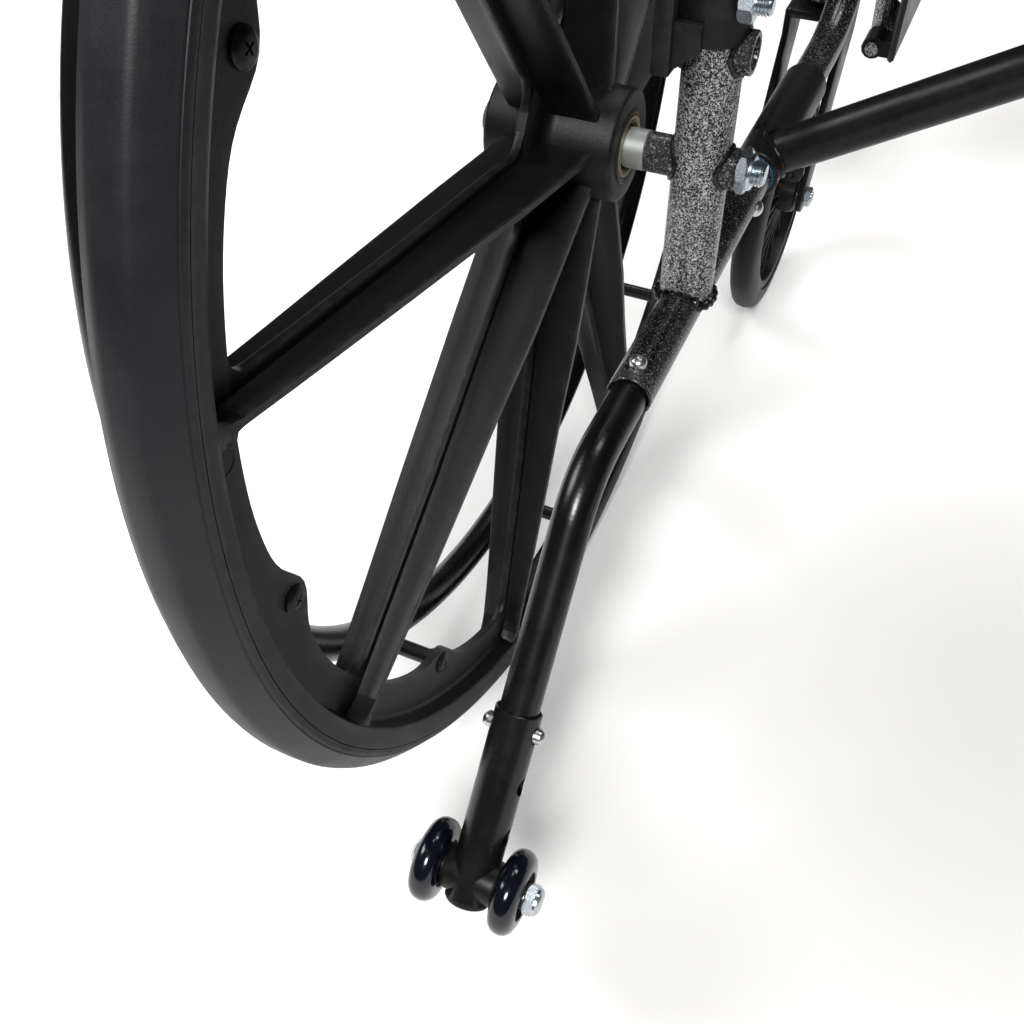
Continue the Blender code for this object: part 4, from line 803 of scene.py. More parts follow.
# %% Bearing
def hex_nut(start, direction, across, thick):
    """A hexagon whose corners are turned off at both ends."""
    corner, flat = across / math.sqrt(3), across / 2
    reach, bevel = corner + 0.0002, corner - flat
    lathe = [(0.0, 0.0), (0.0, flat), (bevel, reach), (thick - bevel, reach), (thick, flat), (thick, 0.0)]
    hexagon = prism(circle(corner, 6), aimed(start, direction, Y), 0.0, thick)
    return joined(hexagon, [turned(lathe, start, direction)], "INTERSECT")


def threaded(start, direction, length, radius, pitch):
    """A threaded end: a fine saw-tooth outline, turned."""
    profile = [(0.0, 0.0), (0.0, radius * 0.9)]
    height = 0.0
    while height < length - 0.0018:
        for along, share in ((0.3, 1.0), (0.55, 1.0), (0.9, 0.84)):
            profile.append((height + pitch * along, radius * share))
        height += pitch
    profile += [(length - 0.0008, radius * 0.9), (length, radius * 0.74), (length, 0.0)]
    return turned(profile, start, direction, 32)


seal_line = mm("0 14.7, -0.4 15, -0.4 15.7, 0.2 16.3, 7 16.3, 7 14.7")
seal = turned(seal_line, at(0.2516, 0.0, AXLE_Z), X, 64)
pair("bearing_seal", seal, black_plastic, "rear_wheel", "black_plastic")
shield_line = mm(
    "1.6 10.3, 1.6 10.8, 0.4 11, 0.2 11.4, 0.7 11.7, 0.3 12, 0.2 13.4, 0.6 13.7, 2 13.8, 2 14.2, 0.5 14.3,"
    "0.5 14.8, 6 14.8, 6 10.3"
)
shield = turned(shield_line, at(0.251, 0.0, AXLE_Z), X, 96)
pair("bearing_shield", shield, bronze, "rear_wheel", "cream_seal", ["hub_bearing"])

# %% Axle bolt
spacer = pipe(at(0.2423, 0.0, AXLE_Z), at(0.2528, 0.0, AXLE_Z), 0.0088, 0.0058, 48, 0.0005)
pair("axle_spacer", spacer, satin_steel, "frame", "zinc")
bolt_end = at(0.1962, 0.0, AXLE_Z)
bolt = gather(
    rod(bolt_end, at(0.317, 0.0, AXLE_Z), 0.0054),
    threaded(bolt_end, -X, 0.0073, 0.0056, 0.0016),
    hex_nut(at(0.2007, 0.0, AXLE_Z), -X, 0.0174, 0.0044),
    turned(mm("0 5.5, 0 7.6, 0.8 8, 2 7.6, 2.6 6.2, 2.6 5.5"), at(0.1964, 0.0, AXLE_Z), -X, 40),
    hex_nut(at(0.3133, 0.0, AXLE_Z), X, 0.0174, 0.007),
)
pair("axle_hardware", bolt, zinc, "frame", "zinc", ["axle_bolt"], 30.0)

# %% [markdown]
# ## Post and push handle
# The rear post is inch tube that leans back above the seat and bends into the push handle.
# Two short tubes for the axle are welded through it. Each weld is a bead: a thin round cord
# laid along the line where the two tubes meet.


# %% Post
def bead(points, radius, ripple=0.12):
    """A closed weld bead along a line of points, its thickness rippled as a weld's is."""
    curve = bpy.data.curves.new("bead", "CURVE")
    curve.dimensions = "3D"
    curve.bevel_depth = radius
    curve.bevel_resolution = 3
    line = curve.splines.new("POLY")
    line.use_cyclic_u = True
    line.points.add(len(points) - 1)
    for i, (spot, place) in enumerate(zip(line.points, points)):
        spot.co = (*place, 1.0)
        spot.radius = 1.0 + ripple * math.sin(i * 1.9)
    obj = shown("bead", curve)
    bpy.context.view_layer.update()
    mesh = evaluated(obj)
    bpy.data.objects.remove(obj)
    return cleaned(as_bmesh(mesh))


lean = math.tan(math.radians(6.0))
lean_z = AXLE_Z + 0.215
handle_z = AXLE_Z + 0.6
handle_y = (handle_z - lean_z) * lean
post_line = bent(
    [at(FRAME_X, y, z) for y, z in ((0.0, RAIL_Z), (0.0, lean_z), (handle_y, handle_z), (0.2, handle_z))],
    [0.1, 0.05],
)
pair("rear_post", tube(post_line, POST_R), silver_vein, "frame", "silver_vein", ["back_cane"])
axle_tubes, beads = [], []
for height in (AXLE_Z, AXLE_Z + 0.0508):
    for start, end in ((FRAME_X - 0.017, FRAME_X - 0.01), (FRAME_X + 0.01, FRAME_X + 0.024)):
        axle_tubes.append(pipe(at(start, 0.0, height), at(end, 0.0, height), 0.00875, 0.0062, 40, 0.0006))
    for side in (-1.0, 1.0):
        line = []
        for y, z in circle(0.009, 60):
            line.append(at(FRAME_X + side * (math.sqrt(POST_R ** 2 - y ** 2) + 0.0002), y, height + z))
        beads.append(bead(line, 0.0013))
line = []
for x, y in circle(POST_R + 0.0002, 80):
    drop = math.sqrt(max(0.0, RAIL_R ** 2 - x ** 2))
    line.append(at(FRAME_X + x, y, RAIL_Z + max(drop, 0.0045) - 0.0018))
beads.append(bead(line, 0.0026, 0.2))
# The axle tubes take the silver vein coat darkened as painted shade.
pair("axle_tubes", gather(*axle_tubes), shaded_vein, "frame", "silver_vein")
pair("post_welds", gather(*beads), gloss_black, "frame", "silver_vein")

# %% [markdown]
# ## Side frame
# One bent tube makes lower rail, front upright and upper rail. Its rear stub is open and
# takes the anti-tipper. The caster's housing, gussets, lugs and sockets are welded on. The
# snap button's hole is drilled with a Boolean.

# %% Side frame tube
CASTER_X, CASTER_Y = 0.24, -0.396
HANGER_Y = -0.402
side_line = bent(
    [at(FRAME_X, 0.074, RAIL_Z), at(FRAME_X, FRONT_Y, RAIL_Z), at(FRAME_X, FRONT_Y, UPPER_Z),
     at(FRAME_X, -POST_R - 0.0003, UPPER_Z)],
    [0.088, 0.045],
)
button_hole = rod(at(FRAME_X, 0.069, RAIL_Z + 0.0075), at(FRAME_X, 0.069, RAIL_Z + 0.02), 0.0044, 32, 0.0)
main_tube = joined(tube(side_line, RAIL_R), [button_hole])
stub_line = mm("0 0, 0 10.6, 5.6 10.6, 6.1 10.2, 6.1 9.8, 5.7 9.3, 0.6 9.3, 0.6 0")
housing_low = RAIL_Z - 0.007
housing_line = mm("0 0, 0 16.5, 1 18.5, 3 19, 69 19, 70.8 18.3, 71.8 16, 72 0")
fittings = [
    main_tube, turned(stub_line, at(FRAME_X, 0.0739, RAIL_Z), Y),
    turned(housing_line, at(CASTER_X, CASTER_Y, housing_low), Z),
]
for rise, rear in ((0.017, -0.334), (0.051, -0.362)):
    outline = [(FRAME_X - 0.006, rear), (FRAME_X + 0.01, rear)]
    outline += [(CASTER_X + 0.0171, CASTER_Y), (CASTER_X - 0.0171, CASTER_Y)]
    fittings.append(plate(outline, RAIL_Z + rise, RAIL_Z + rise + 0.005, "Z"))
for height in (RAIL_Z + 0.081, RAIL_Z + 0.155):
    outline = [(FRAME_X + 0.011, FRONT_Y), (FRAME_X - 0.011, FRONT_Y)]
    outline += arc((FRAME_X, HANGER_Y), 0.0105, 180.0, 360.0, 16)
    fittings.append(plate(outline, height, height + 0.004, "Z"))
    pin_foot = at(FRAME_X, HANGER_Y, height + 0.002)
    fittings.append(rod(pin_foot, pin_foot + Z * 0.0176, 0.0045, 24, 0.001))

# %% Lock plate and rivet
lock_y = -0.31429
lock_low, lock_rear, lock_front = AXLE_Z + 0.107, lock_y + 0.024, lock_y - 0.014
fittings.append(plate(
    [(lock_front, lock_low), (lock_rear, lock_low),
     (lock_rear, UPPER_Z + 0.007), (lock_front, UPPER_Z + 0.004)],
    FRAME_X + 0.008, FRAME_X + 0.0196, "X", 0.0015,
))
stud_z = AXLE_Z + 0.119
fittings.append(rod(at(FRAME_X + 0.0106, lock_y, stud_z), at(0.262, lock_y, stud_z), 0.005, 24, 0.0008))
rivet_line = mm("0 0, 0 4.5, 1.2 4.4, 2.8 3.4, 3.8 1.8, 4.1 0")
rivet = turned(rivet_line, at(FRAME_X - 0.0095, -0.0945, RAIL_Z - 0.003), -X, 32)
pair("rail_rivet", rivet, steel, "frame", "zinc")
# The side frame takes the silver vein coat darkened as painted shade.
pair("side_tube", gather(*fittings), shaded_vein, "frame", "silver_vein", ["side_frame"])

# %% [markdown]
# ## Seat-rail cradles and arm sockets
# The folding seat rails drop into plastic cradles on the upper rail, and the armrest's front
# post into a moulded cup. Each cradle is a block with one round channel cut along it for the
# seat rail and another below for the upper rail.

# %% Cradles and sockets
for name, y in (("rear_cradle", -0.06), ("front_cradle", -0.3)):
    body = block(
        (FRAME_X - 0.0165, y - 0.014, UPPER_Z + 0.0064),
        (FRAME_X + 0.0165, y + 0.014, SEAT_Z - 0.002), 0.002,
    )
    channels = [(SEAT_Z, 0.0136), (UPPER_Z, RAIL_R + 0.0001)]
    cuts = [drill(at(FRAME_X, y, z), Y * -0.03, radius, 48) for z, radius in channels]
    pair(name, joined(body, cuts), black_plastic, "frame", "black_plastic")
cup_line = mm("0 0, 0 12.5, 8.2 12.5, 9 11.9, 9 10.8, 8.4 10.4, 0.3 10.4, 0.3 0")
socket = gather(
    block((FRAME_X + 0.0064, -0.285, UPPER_Z - 0.019), (0.2605, -0.255, UPPER_Z + 0.0005), 0.0015),
    turned(cup_line, at(0.248, -0.27, UPPER_Z), Z),
)
pair("arm_socket", socket, black_plastic, "frame", "black_plastic")

# %% [markdown]
# ## Armrest saddle
# A moulded saddle wraps the post and carries the armrest's pivot. Its rear rib and side bar
# stand proud, and a hex nut holds its through-bolt on the inner side.

# %% Saddle
saddle_low, saddle_high = AXLE_Z + 0.056, AXLE_Z + 0.157
pivot_z = UPPER_Z + 0.022
pivot = at(0.2345, 0.0, pivot_z)
wall = arc((FRAME_X + 0.0024, 0.0), POST_R + 0.0036, -8.0, 188.0, 40)
wall += arc((FRAME_X, 0.0), POST_R + 0.0003, 188.0, -8.0, 40)
step_z = saddle_low + 0.01
step = [(0.014, AXLE_Z + 0.045), (0.014, step_z), (0.001, step_z), (0.001, saddle_low - 0.001)]
ear = [(-0.0112, saddle_low + 0.012), (0.0112, saddle_low + 0.003)]
ear += arc((0.0, pivot_z), 0.0112, 0.0, 180.0, 20)
saddle = gather(
    plate(wall, saddle_low, saddle_high, "Z", 0.0009),
    block((FRAME_X + 0.012, 0.0095, AXLE_Z + 0.044), (FRAME_X + 0.0205, 0.0215, saddle_high), 0.002),
    plate([(FRAME_X + x, z) for x, z in step], 0.0145, 0.0187, "Y"),
    plate(ear, 0.2345, 0.2375, "X"),
)
pair("arm_saddle", saddle, black_plastic, "frame", "black_plastic", ["arm_bracket"])
nut = at(0.2078, 0.008, AXLE_Z + 0.073)
pins = gather(
    hex_nut(nut, -X, 0.0128, 0.0062),
    threaded(nut - X * 0.0058, -X, 0.0068, 0.004, 0.0013),
    rod(pivot, pivot + X * 0.0245, 0.0045),
    turned(mm("0 0, 0 7.5, 0.6 7.5, 1.4 6.2, 1.8 3, 1.8 0"), pivot + X * 0.0235, X, 40),
)
pair("saddle_hardware", pins, zinc, "frame", "zinc")

# %% [markdown]
# ## Anti-tipper
# A smaller tube slips into the frame's stub, bends down and carries a sleeve that slides on
# it. Two spring pins hold the sleeve at one of three rows of holes. At its foot a thick
# spacer crosses the sleeve, and a bolt through it carries two small rollers.

# %% Anti-tip tube
SIDES = (("inner", -1.0), ("outer", 1.0))
slope = math.radians(49.0)
leg = Y * math.cos(slope) - Z * math.sin(slope)
leg_corner = at(FRAME_X, 0.1324, RAIL_Z)
tip_tube = tube(bent([at(FRAME_X, 0.016, RAIL_Z), leg_corner, leg_corner + leg * 0.124], [0.045]), 0.0088)
button_hole = rod(at(FRAME_X, 0.069, RAIL_Z + 0.006), at(FRAME_X, 0.069, RAIL_Z + 0.02), 0.0043, 32, 0.0)
pair("antitip_leg", joined(tip_tube, [button_hole]), gloss_black, "antitip", "gloss_black", ["antitip_tube"])


def snap_pin(base, direction, radius, length):
    """A pressed spring button with a domed tip."""
    profile = [(0.0, 0.0), (0.0, radius), (length - radius * 0.75, radius)]
    for i in range(1, 8):
        turn = math.pi / 2 * i / 7
        profile.append((length - radius * 0.75 * (1 - math.sin(turn)), radius * math.cos(turn)))
    return turned(profile, base, direction, 32)


button = snap_pin(at(FRAME_X, 0.069, RAIL_Z + 0.004), Z, 0.004, 0.0107)
pair("snap_button", button, steel, "antitip_snap", "zinc", ["antitip_button"])
FIRST_HOLE, HOLE_STEP = 0.1133, 0.0238
for name, side in SIDES:
    pin = snap_pin(leg_corner + leg * FIRST_HOLE + X * (side * 0.006), X * side, 0.0036, 0.0086)
    pair(f"height_pin_{name}", pin, steel, f"pin_{name}", "zinc", [f"sleeve_pin_{name}"])

# %% Sleeve and its foot
rows = [leg_corner + leg * (FIRST_HOLE + HOLE_STEP * row) for row in range(3)]
sleeve = pipe(leg_corner + leg * 0.1045, leg_corner + leg * 0.1935, 0.0105, 0.0093, 64, 0.0005)
sleeve = joined(sleeve, [drill(middle, X * 0.02, 0.0043) for middle in rows])
pair("height_sleeve", sleeve, gloss_black, "sleeve", "gloss_black", ["antitip_sleeve"])
foot = leg_corner + leg * 0.1838
spacer_line = mm("-12.4 0, -12.4 8.8, -11.8 9.6, -10.6 10, 10.6 10, 11.8 9.6, 12.4 8.8, 12.4 0")
cap_line = mm("0 0, 0 10, 0.4 10.5, 1.8 10.5, 2.8 10, 3.3 8.8, 2.8 7.6, 2.2 7, 2.2 0")
sleeve_foot = gather(turned(spacer_line, foot, X), turned(cap_line, leg_corner + leg * 0.1927, leg))
pair("sleeve_foot", sleeve_foot, black_plastic, "sleeve", "black_plastic")
roller_bolt = gather(
    rod(foot - X * 0.03, foot + X * 0.026, 0.0039),
    hex_nut(foot - X * 0.0256, -X, 0.0128, 0.0044),
    turned(mm("0 0, 0 6.2, 1.2 6, 2.2 4.8, 2.2 0"), foot - X * 0.03, -X, 32),
    turned(mm("0 0, 0 7, 1.2 6.8, 3 5.2, 4 2.8, 4.3 0"), foot + X * 0.0256, X, 32),
)
pair("roller_bolt", roller_bolt, zinc, "sleeve", "zinc")

# %% Rollers
tread = mm(
    "-6 11.2, -5.8 14, -4.8 16.6, -3 18.2, -1 18.8, 1 18.8, 3 18.2, 4.8 16.6, 5.8 14, 6 11.2,"
    "5.6 10.8, -5.6 10.8"
)
hub_line = mm(
    "-4.6 10.9, -4.6 9.6, -2.6 9, -2.6 6.2, -5.8 5.8, -5.8 4.4, 5.8 4.4, 5.8 5.8, 2.6 6.2, 2.6 9,"
    "4.6 9.6, 4.6 10.9"
)
for name, side in SIDES:
    middle = foot + X * (side * 0.019)
    body, node = f"roller_{name}", f"antitip_wheel_{name}"
    pair(f"roller_tread_{name}", turned(tread, middle, X, 72), navy, body, "navy_urethane", [node])
    slots = []
    for i in range(6):
        spot = aimed(middle - X * 0.006, X, Y) @ Matrix.Rotation(math.tau * i / 6, 4, "Z")
        slots.append(prism(mm("6.6 -1.1, 8.6 -1.4, 8.6 1.4, 6.6 1.1"), spot, 0.0, 0.012))
    roller_hub = joined(turned(hub_line, middle, X), slots)
    pair(f"roller_hub_{name}", roller_hub, black_plastic, body, "black_plastic")

# %% [markdown]
# ## Cross-brace
# Under the seat two diagonal tubes cross and share one bolt. Each starts at a sleeve that
# turns round a lower rail on a nylon liner, and ends at the other side's seat rail. Both are
# made from one function: a diagonal with its drilled sleeve, its seat rail and a small lug.

# %% Brace tubes
BRACE_Y = -0.1285
BRACE_OFFSET = 0.0138
BRACE_R = 0.0111
DIAGONAL_R = 0.0122
SLEEVE_R = 0.014
SLEEVE_BORE = 0.0113
LUG = ((0.013, 217.0), (0.0215, 210.0), (0.0245, 203.0), (0.025, 192.0), (0.024, 176.0), (0.013, 176.0))
middle_z = (RAIL_Z + SEAT_Z) / 2


def polar(centre, radius, degrees):
    return arc(centre, radius, degrees, degrees, 1)[0]


def brace(sign, offset, behind):
    """One half of the scissor, its sleeve reaching `behind` the diagonal."""
    y = BRACE_Y + offset
    foot, top = at(sign * FRAME_X, y, RAIL_Z), at(-sign * FRAME_X, y, SEAT_Z)
    slant = (top - foot).normalized()
    end = behind + 0.095
    sleeve = turned(
        [(0.0, SLEEVE_BORE), (0.0, 0.0134), (0.0006, SLEEVE_R),
         (end - 0.0006, SLEEVE_R), (end, 0.0134), (end, SLEEVE_BORE)],
        foot - Y * 0.095, Y,
    )
    up_out = X * (sign * math.cos(math.radians(60.0))) + Z * math.sin(math.radians(60.0))
    spot = foot - Y * 0.0117 + up_out * 0.008
    sleeve = joined(sleeve, [rod(spot, spot + up_out * 0.012, 0.0034, 32, 0.0)])
    outline = [polar((FRAME_X, RAIL_Z), radius, turn) for radius, turn in LUG]
    outline = [(sign * x, z) for x, z in outline][::int(sign)]
    eye_x, eye_z = polar((FRAME_X, RAIL_Z), 0.02, 199.0)
    lug = joined(
        plate(outline, y - 0.0015, y + 0.0015, "Y"),
        [drill(at(sign * eye_x, y, eye_z), Y * 0.01, 0.0016, 20)],
    )
    diagonal = rod(foot + slant * 0.0122, top - slant * 0.004, DIAGONAL_R, 40, 0.0006)
    rail = rod(at(-sign * FRAME_X, -0.026, SEAT_Z), at(-sign * FRAME_X, -0.426, SEAT_Z), BRACE_R, 40, 0.0012)
    bolt_hole = drill(at(0.0, y, middle_z), Y * 0.03, 0.0045, 24)
    diagonal = joined(diagonal, [drill(foot, Y * 0.1, SLEEVE_BORE, 48), bolt_hole])
    side = slant.cross(Y)
    line = []
    for a, b in circle(DIAGONAL_R, 60):
        rise = math.sqrt(SLEEVE_R ** 2 - a ** 2) + 0.0004
        line.append(foot + (side * a + Y * b) * 1.02 + slant * rise)
    return gather(sleeve, diagonal, rail, lug, bead(line, 0.0016))


BRACES = (
    ("first", "cross_brace_a", "brace_a", 1.0, 0.021),
    ("second", "cross_brace_b", "brace_b", -1.0, 0.015),
)
for name, body, node, sign, behind in BRACES:
    bars = brace(sign, -sign * BRACE_OFFSET, behind)
    finished(f"brace_{name}", bars, black_steel, body, "black_steel", [node])
centre = at(0.0, BRACE_Y, middle_z)
centre_bolt = gather(
    rod(centre - Y * 0.035, centre + Y * 0.036, 0.0041),
    rod(centre - Y * 0.0012, centre + Y * 0.0012, 0.0085, 32),
    hex_nut(centre - Y * 0.0263, -Y, 0.0145, 0.0074),
    hex_nut(centre + Y * 0.0263, Y, 0.0145, 0.0074),
)
finished("centre_bolt", centre_bolt, zinc, "cross_brace_a", "zinc", ["brace_bolt"])
print("braces cross at height", round(middle_z, 4))

# %% Liners of the sleeves
liner_line = mm("0 10.9, 0 11.35, 0.4 11.35, 0.6 11.2, 0.6 10.9")
for name, body, node, sign, behind in BRACES:
    foot = at(sign * FRAME_X, BRACE_Y - sign * BRACE_OFFSET, RAIL_Z)
    liners = [turned(liner_line, foot + Y * behind, Y), turned(liner_line, foot - Y * 0.095, -Y)]
    finished(f"brace_liner_{name}", gather(*liners), teal, body, "black_plastic")

# %% [markdown]
# ## Casters
# The caster is the rear wheel's small brother. Its moulded disc has many thin spokes, so one
# spoke is a swept bar and is repeated round the hub. The fork is a pressed steel channel, so
# its crown and blades are plates with rounded edges.

# %% Caster fork
crown_high = housing_low - 0.005
crown_low = crown_high - 0.013
trail_y = CASTER_Y + 0.06
caster_r = 0.0925
centre = at(CASTER_X, trail_y, caster_r)
waist = (caster_r + crown_low) / 2
blade = [(-0.021, crown_high), (-0.019, crown_low - 0.01), (0.016, waist - 0.012)]
blade += arc((trail_y - CASTER_Y, caster_r), 0.0125, 190.0, 370.0, 20)
blade += [(0.05, waist), (0.023, crown_low - 0.006), (0.023, crown_high)]
blade = [(CASTER_Y + y, z) for y, z in blade]
fork = [block(
    (CASTER_X - 0.023, CASTER_Y - 0.021, crown_low + 0.006),
    (CASTER_X + 0.023, CASTER_Y + 0.023, crown_high), 0.003,
)]
for inner in (CASTER_X - 0.023, CASTER_X + 0.018):
    fork.append(plate(blade, inner, inner + 0.005, "X", 0.0014))
race_line = mm("0 0, 0 12.5, 0.8 13, 4 13, 4.7 12.2, 4.7 0")
fork.append(turned(race_line, at(CASTER_X, CASTER_Y, crown_high), Z, 40))
pair("fork_shell", gather(*fork), black_steel, "caster_swivel", "black_steel", ["caster_fork"])
caster_bolt = gather(
    rod(centre - X * 0.029, centre + X * 0.029, 0.004),
    hex_nut(centre - X * 0.023, -X, 0.0128, 0.0048),
    hex_nut(centre + X * 0.023, X, 0.0128, 0.0048),
)
pair("caster_bolt", caster_bolt, zinc, "caster_swivel", "zinc")

# %% Caster wheel
hub_line = mm("-16.6 4.3, -16.6 12, -15.8 13.4, -12 14.6, 12 14.6, 15.8 13.4, 16.6 12, 16.6 4.3")
rim_line = mm(
    "-9.2 69.4, -9.4 70.6, -9.4 75, -9 75.8, 9 75.8, 9.4 75, 9.4 70.6, 9.2 69.4, 6 69, -6 69"
)
bar = (
    (-0.5, -0.35), (-0.38, -0.5), (0.38, -0.5), (0.5, -0.35),
    (0.5, 0.35), (0.38, 0.5), (-0.38, 0.5), (-0.5, 0.35),
)
parts = [turned(hub_line, centre, X), turned(rim_line, centre, X, 96)]
for k in range(18):
    angle = math.tau * k / 18
    outward = Y * math.cos(angle) + Z * math.sin(angle)
    places = []
    for radius, wide, deep in mm("12 2.6 13, 22 1.9 11, 45 1.6 7, 64 1.8 7, 70 3 8"):
        places.append(aimed(centre + outward * radius, outward) @ Matrix.Diagonal((deep, wide, 1.0, 1.0)))
    parts.append(swept(bar, places))
pair("caster_disc", gather(*parts), composite, "caster_roll", "composite", ["caster_wheel"], 40.0)
half_tread = mm("1.8 92.5, 5 91.7, 7.5 89.5, 9.2 85.8, 10.2 80.6, 10.5 77.2, 10.4 76.2")
caster_tread = turned([(-a, b) for a, b in reversed(half_tread)] + half_tread, centre, X, 120)
pair("caster_ring", caster_tread, caster_rubber, "caster_roll", "grey_tyre", ["caster_tyre"], 60.0)

# %% [markdown]
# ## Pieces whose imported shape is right
# Hanger, latch, footrest, armrest, guard and lock already have their true outline. Each gets
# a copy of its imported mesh, with the loose triangles merged and joined into flat faces, and a
# Bevel modifier that rounds every hard edge, so that it catches the light as pressed steel
# and moulded plastic do.


# %% Rounded copies
def rounded(node, finish, body, slot, width, name):
    """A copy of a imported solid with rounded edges."""
    bm = bmesh.new()
    bm.from_mesh(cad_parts[node].data)
    bmesh.ops.remove_doubles(bm, verts=bm.verts, dist=0.00001)
    bmesh.ops.dissolve_limit(bm, angle_limit=math.radians(1.5), verts=bm.verts, edges=bm.edges)
    obj = finished(name, bm, finish, body, slot, [node], 30.0)
    bm.free()
    edge = obj.modifiers.new("edge", "BEVEL")
    edge.width = width
    edge.segments = 2
    edge.limit_method = "ANGLE"
    edge.angle_limit = math.radians(40.0)
    edge.harden_normals = False


COPIES = (
    ("hanger", silver_vein, "legrest", "silver_vein", 0.0008, "hanger_tube"),
    ("hanger_latch", black_plastic, "legrest_latch", "black_plastic", 0.001, "latch_lever"),
    ("footrest_tube", silver_vein, "foot_slide", "silver_vein", 0.0006, "foot_leg"),
    ("footplate", black_plastic, "foot_flip", "black_plastic", 0.0012, "foot_board"),
    ("armrest", silver_vein, "arm", "silver_vein", 0.0006, "arm_tube"),
    ("skirt_guard", black_plastic, "arm", "black_plastic", 0.0008, "guard_panel"),
    ("lock_lever", black_steel, "lock", "black_steel", 0.001, "lock_handle"),
)
for node, finish, body, slot, width, name in COPIES:
    for side in ("left", "right"):
        rounded(f"{node}_{side}", finish, f"{body}_{side}", slot, width, f"{name}_{side}")
print("rounded copies", 2 * len(COPIES))

# %% [markdown]
# ## Push grips and footplate treads
# The grip is a soft sleeve whose rings stop the palm from sliding. Its outline is worked out
# ring by ring and turned. The footplate gets raised bars for the same reason; they are sunk
# into the face that is on top when the plate is down.

# %% Grips and treads
RINGS = 17
grip_line = mm("0 13, 0 19.6, 1 20.9, 3.5 21, 5.2 20.4, 7.5 17.2")
for i in range(RINGS):
    height = 0.01 + i * 0.0058
    belly = 0.0158 + 0.0018 * math.sin(math.pi * (i + 0.5) / RINGS)
    for along, out in mm("0 0, 0.8 1, 3.4 1.1, 4.2 0"):
        grip_line.append((height + along, belly + out))
grip_line += mm("112 16.6, 115.5 16, 118.2 14.2, 119.6 11.2, 120 6, 120 0, 112.4 0, 112.4 13")
grip = turned(grip_line, at(FRAME_X, 0.088, handle_z), Y, 56)
pair("ribbed_grip", grip, vinyl, "frame", "vinyl", ["push_grip"])

PLATE_THICK = 0.006
BARS = 9
plate_low, plate_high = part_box("footplate_left")
face_x = plate_low[0] + PLATE_THICK
bar_step = (plate_high[2] - plate_low[2] - 0.046) / (BARS - 1)
treads = []
for i in range(BARS):
    z = plate_low[2] + 0.034 + i * bar_step
    treads.append(block(
        (face_x - 0.001, plate_low[1] + 0.012 - AXLE_Y, z - 0.0016),
        (face_x + 0.0007, plate_high[1] - 0.012 - AXLE_Y, z + 0.0016), 0.0004,
    ))
print("footplate from", [round(v, 4) for v in plate_low], "to", [round(v, 4) for v in plate_high])
pair("foot_treads", gather(*treads), black_plastic, "foot_flip", "black_plastic")

# %% [markdown]
# ## Arm pads
# The pad is foam under a vinyl skin. A slightly small block is remeshed and blown up by the
# cloth solver, so that its top crowns and its sides pull in between the corners. A piping
# cord runs round its foot, where the skin is stapled to the board.


# %% Pads
def blown(name, bm, pressure, cap):
    """A block swelled by cloth pressure, no point moving more than the cap."""
    obj = shown(name, as_mesh(name, bm))
    step = obj.modifiers.new("even", "REMESH")
    step.mode = "VOXEL"
    step.voxel_size = 0.0045
    even = evaluated(obj)
    obj.modifiers.clear()
    obj.data = even
    rest = [v.co.copy() for v in even.vertices]
    cloth = obj.modifiers.new("cloth", "CLOTH")
    cloth.settings.use_pressure = True
    cloth.settings.uniform_pressure_force = pressure
    cloth.settings.effector_weights.gravity = 0.0
    cloth.point_cache.frame_end = 12
    for number in range(1, 13):
        bpy.context.scene.frame_set(number)
    soft = evaluated(obj)
    obj.modifiers.clear()
    for vert, start in zip(soft.vertices, rest):
        move = vert.co - start
        if move.length > cap:
            vert.co = start + move.normalized() * cap
    bpy.data.objects.remove(obj)
    bpy.context.scene.frame_set(1)
    return as_bmesh(soft)


PAD_INSET = 0.003
pad_low, pad_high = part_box("arm_pad_left")
pad = block(
    (pad_low[0] + PAD_INSET, pad_low[1] + PAD_INSET - AXLE_Y, pad_low[2] + 0.0012),
    (pad_high[0] - PAD_INSET, pad_high[1] - PAD_INSET - AXLE_Y, pad_high[2] - 0.0036), 0.005,
)
pad = blown("pad", pad, 4.0, 0.0036)
for vert in pad.verts:
    vert.co.z = min(max(vert.co.z, pad_low[2] + 0.0008), pad_high[2])
    vert.co.x = min(max(vert.co.x, pad_low[0]), pad_high[0])
for cushion in pair("pad_cushion", pad, vinyl, "arm", "vinyl", ["arm_pad"], 80.0):
    smooth = cushion.modifiers.new("smooth", "SUBSURF")
    smooth.levels = smooth.render_levels = 1
near_x, near_y = (value + 0.008 for value in pad_low[:2])
far_x, far_y = (value - 0.008 for value in pad_high[:2])
loop = []
corners = ((far_x, far_y), (near_x, far_y), (near_x, near_y), (far_x, near_y))
for corner, start in zip(corners, (0, 90, 180, 270)):
    loop += [Vector((x, y, pad_low[2] + 0.0022)) for x, y in arc(corner, 0.0068, start, start + 90, 8)]
pair("pad_piping", bead(loop, 0.0012, 0.0), vinyl, "arm", "vinyl")
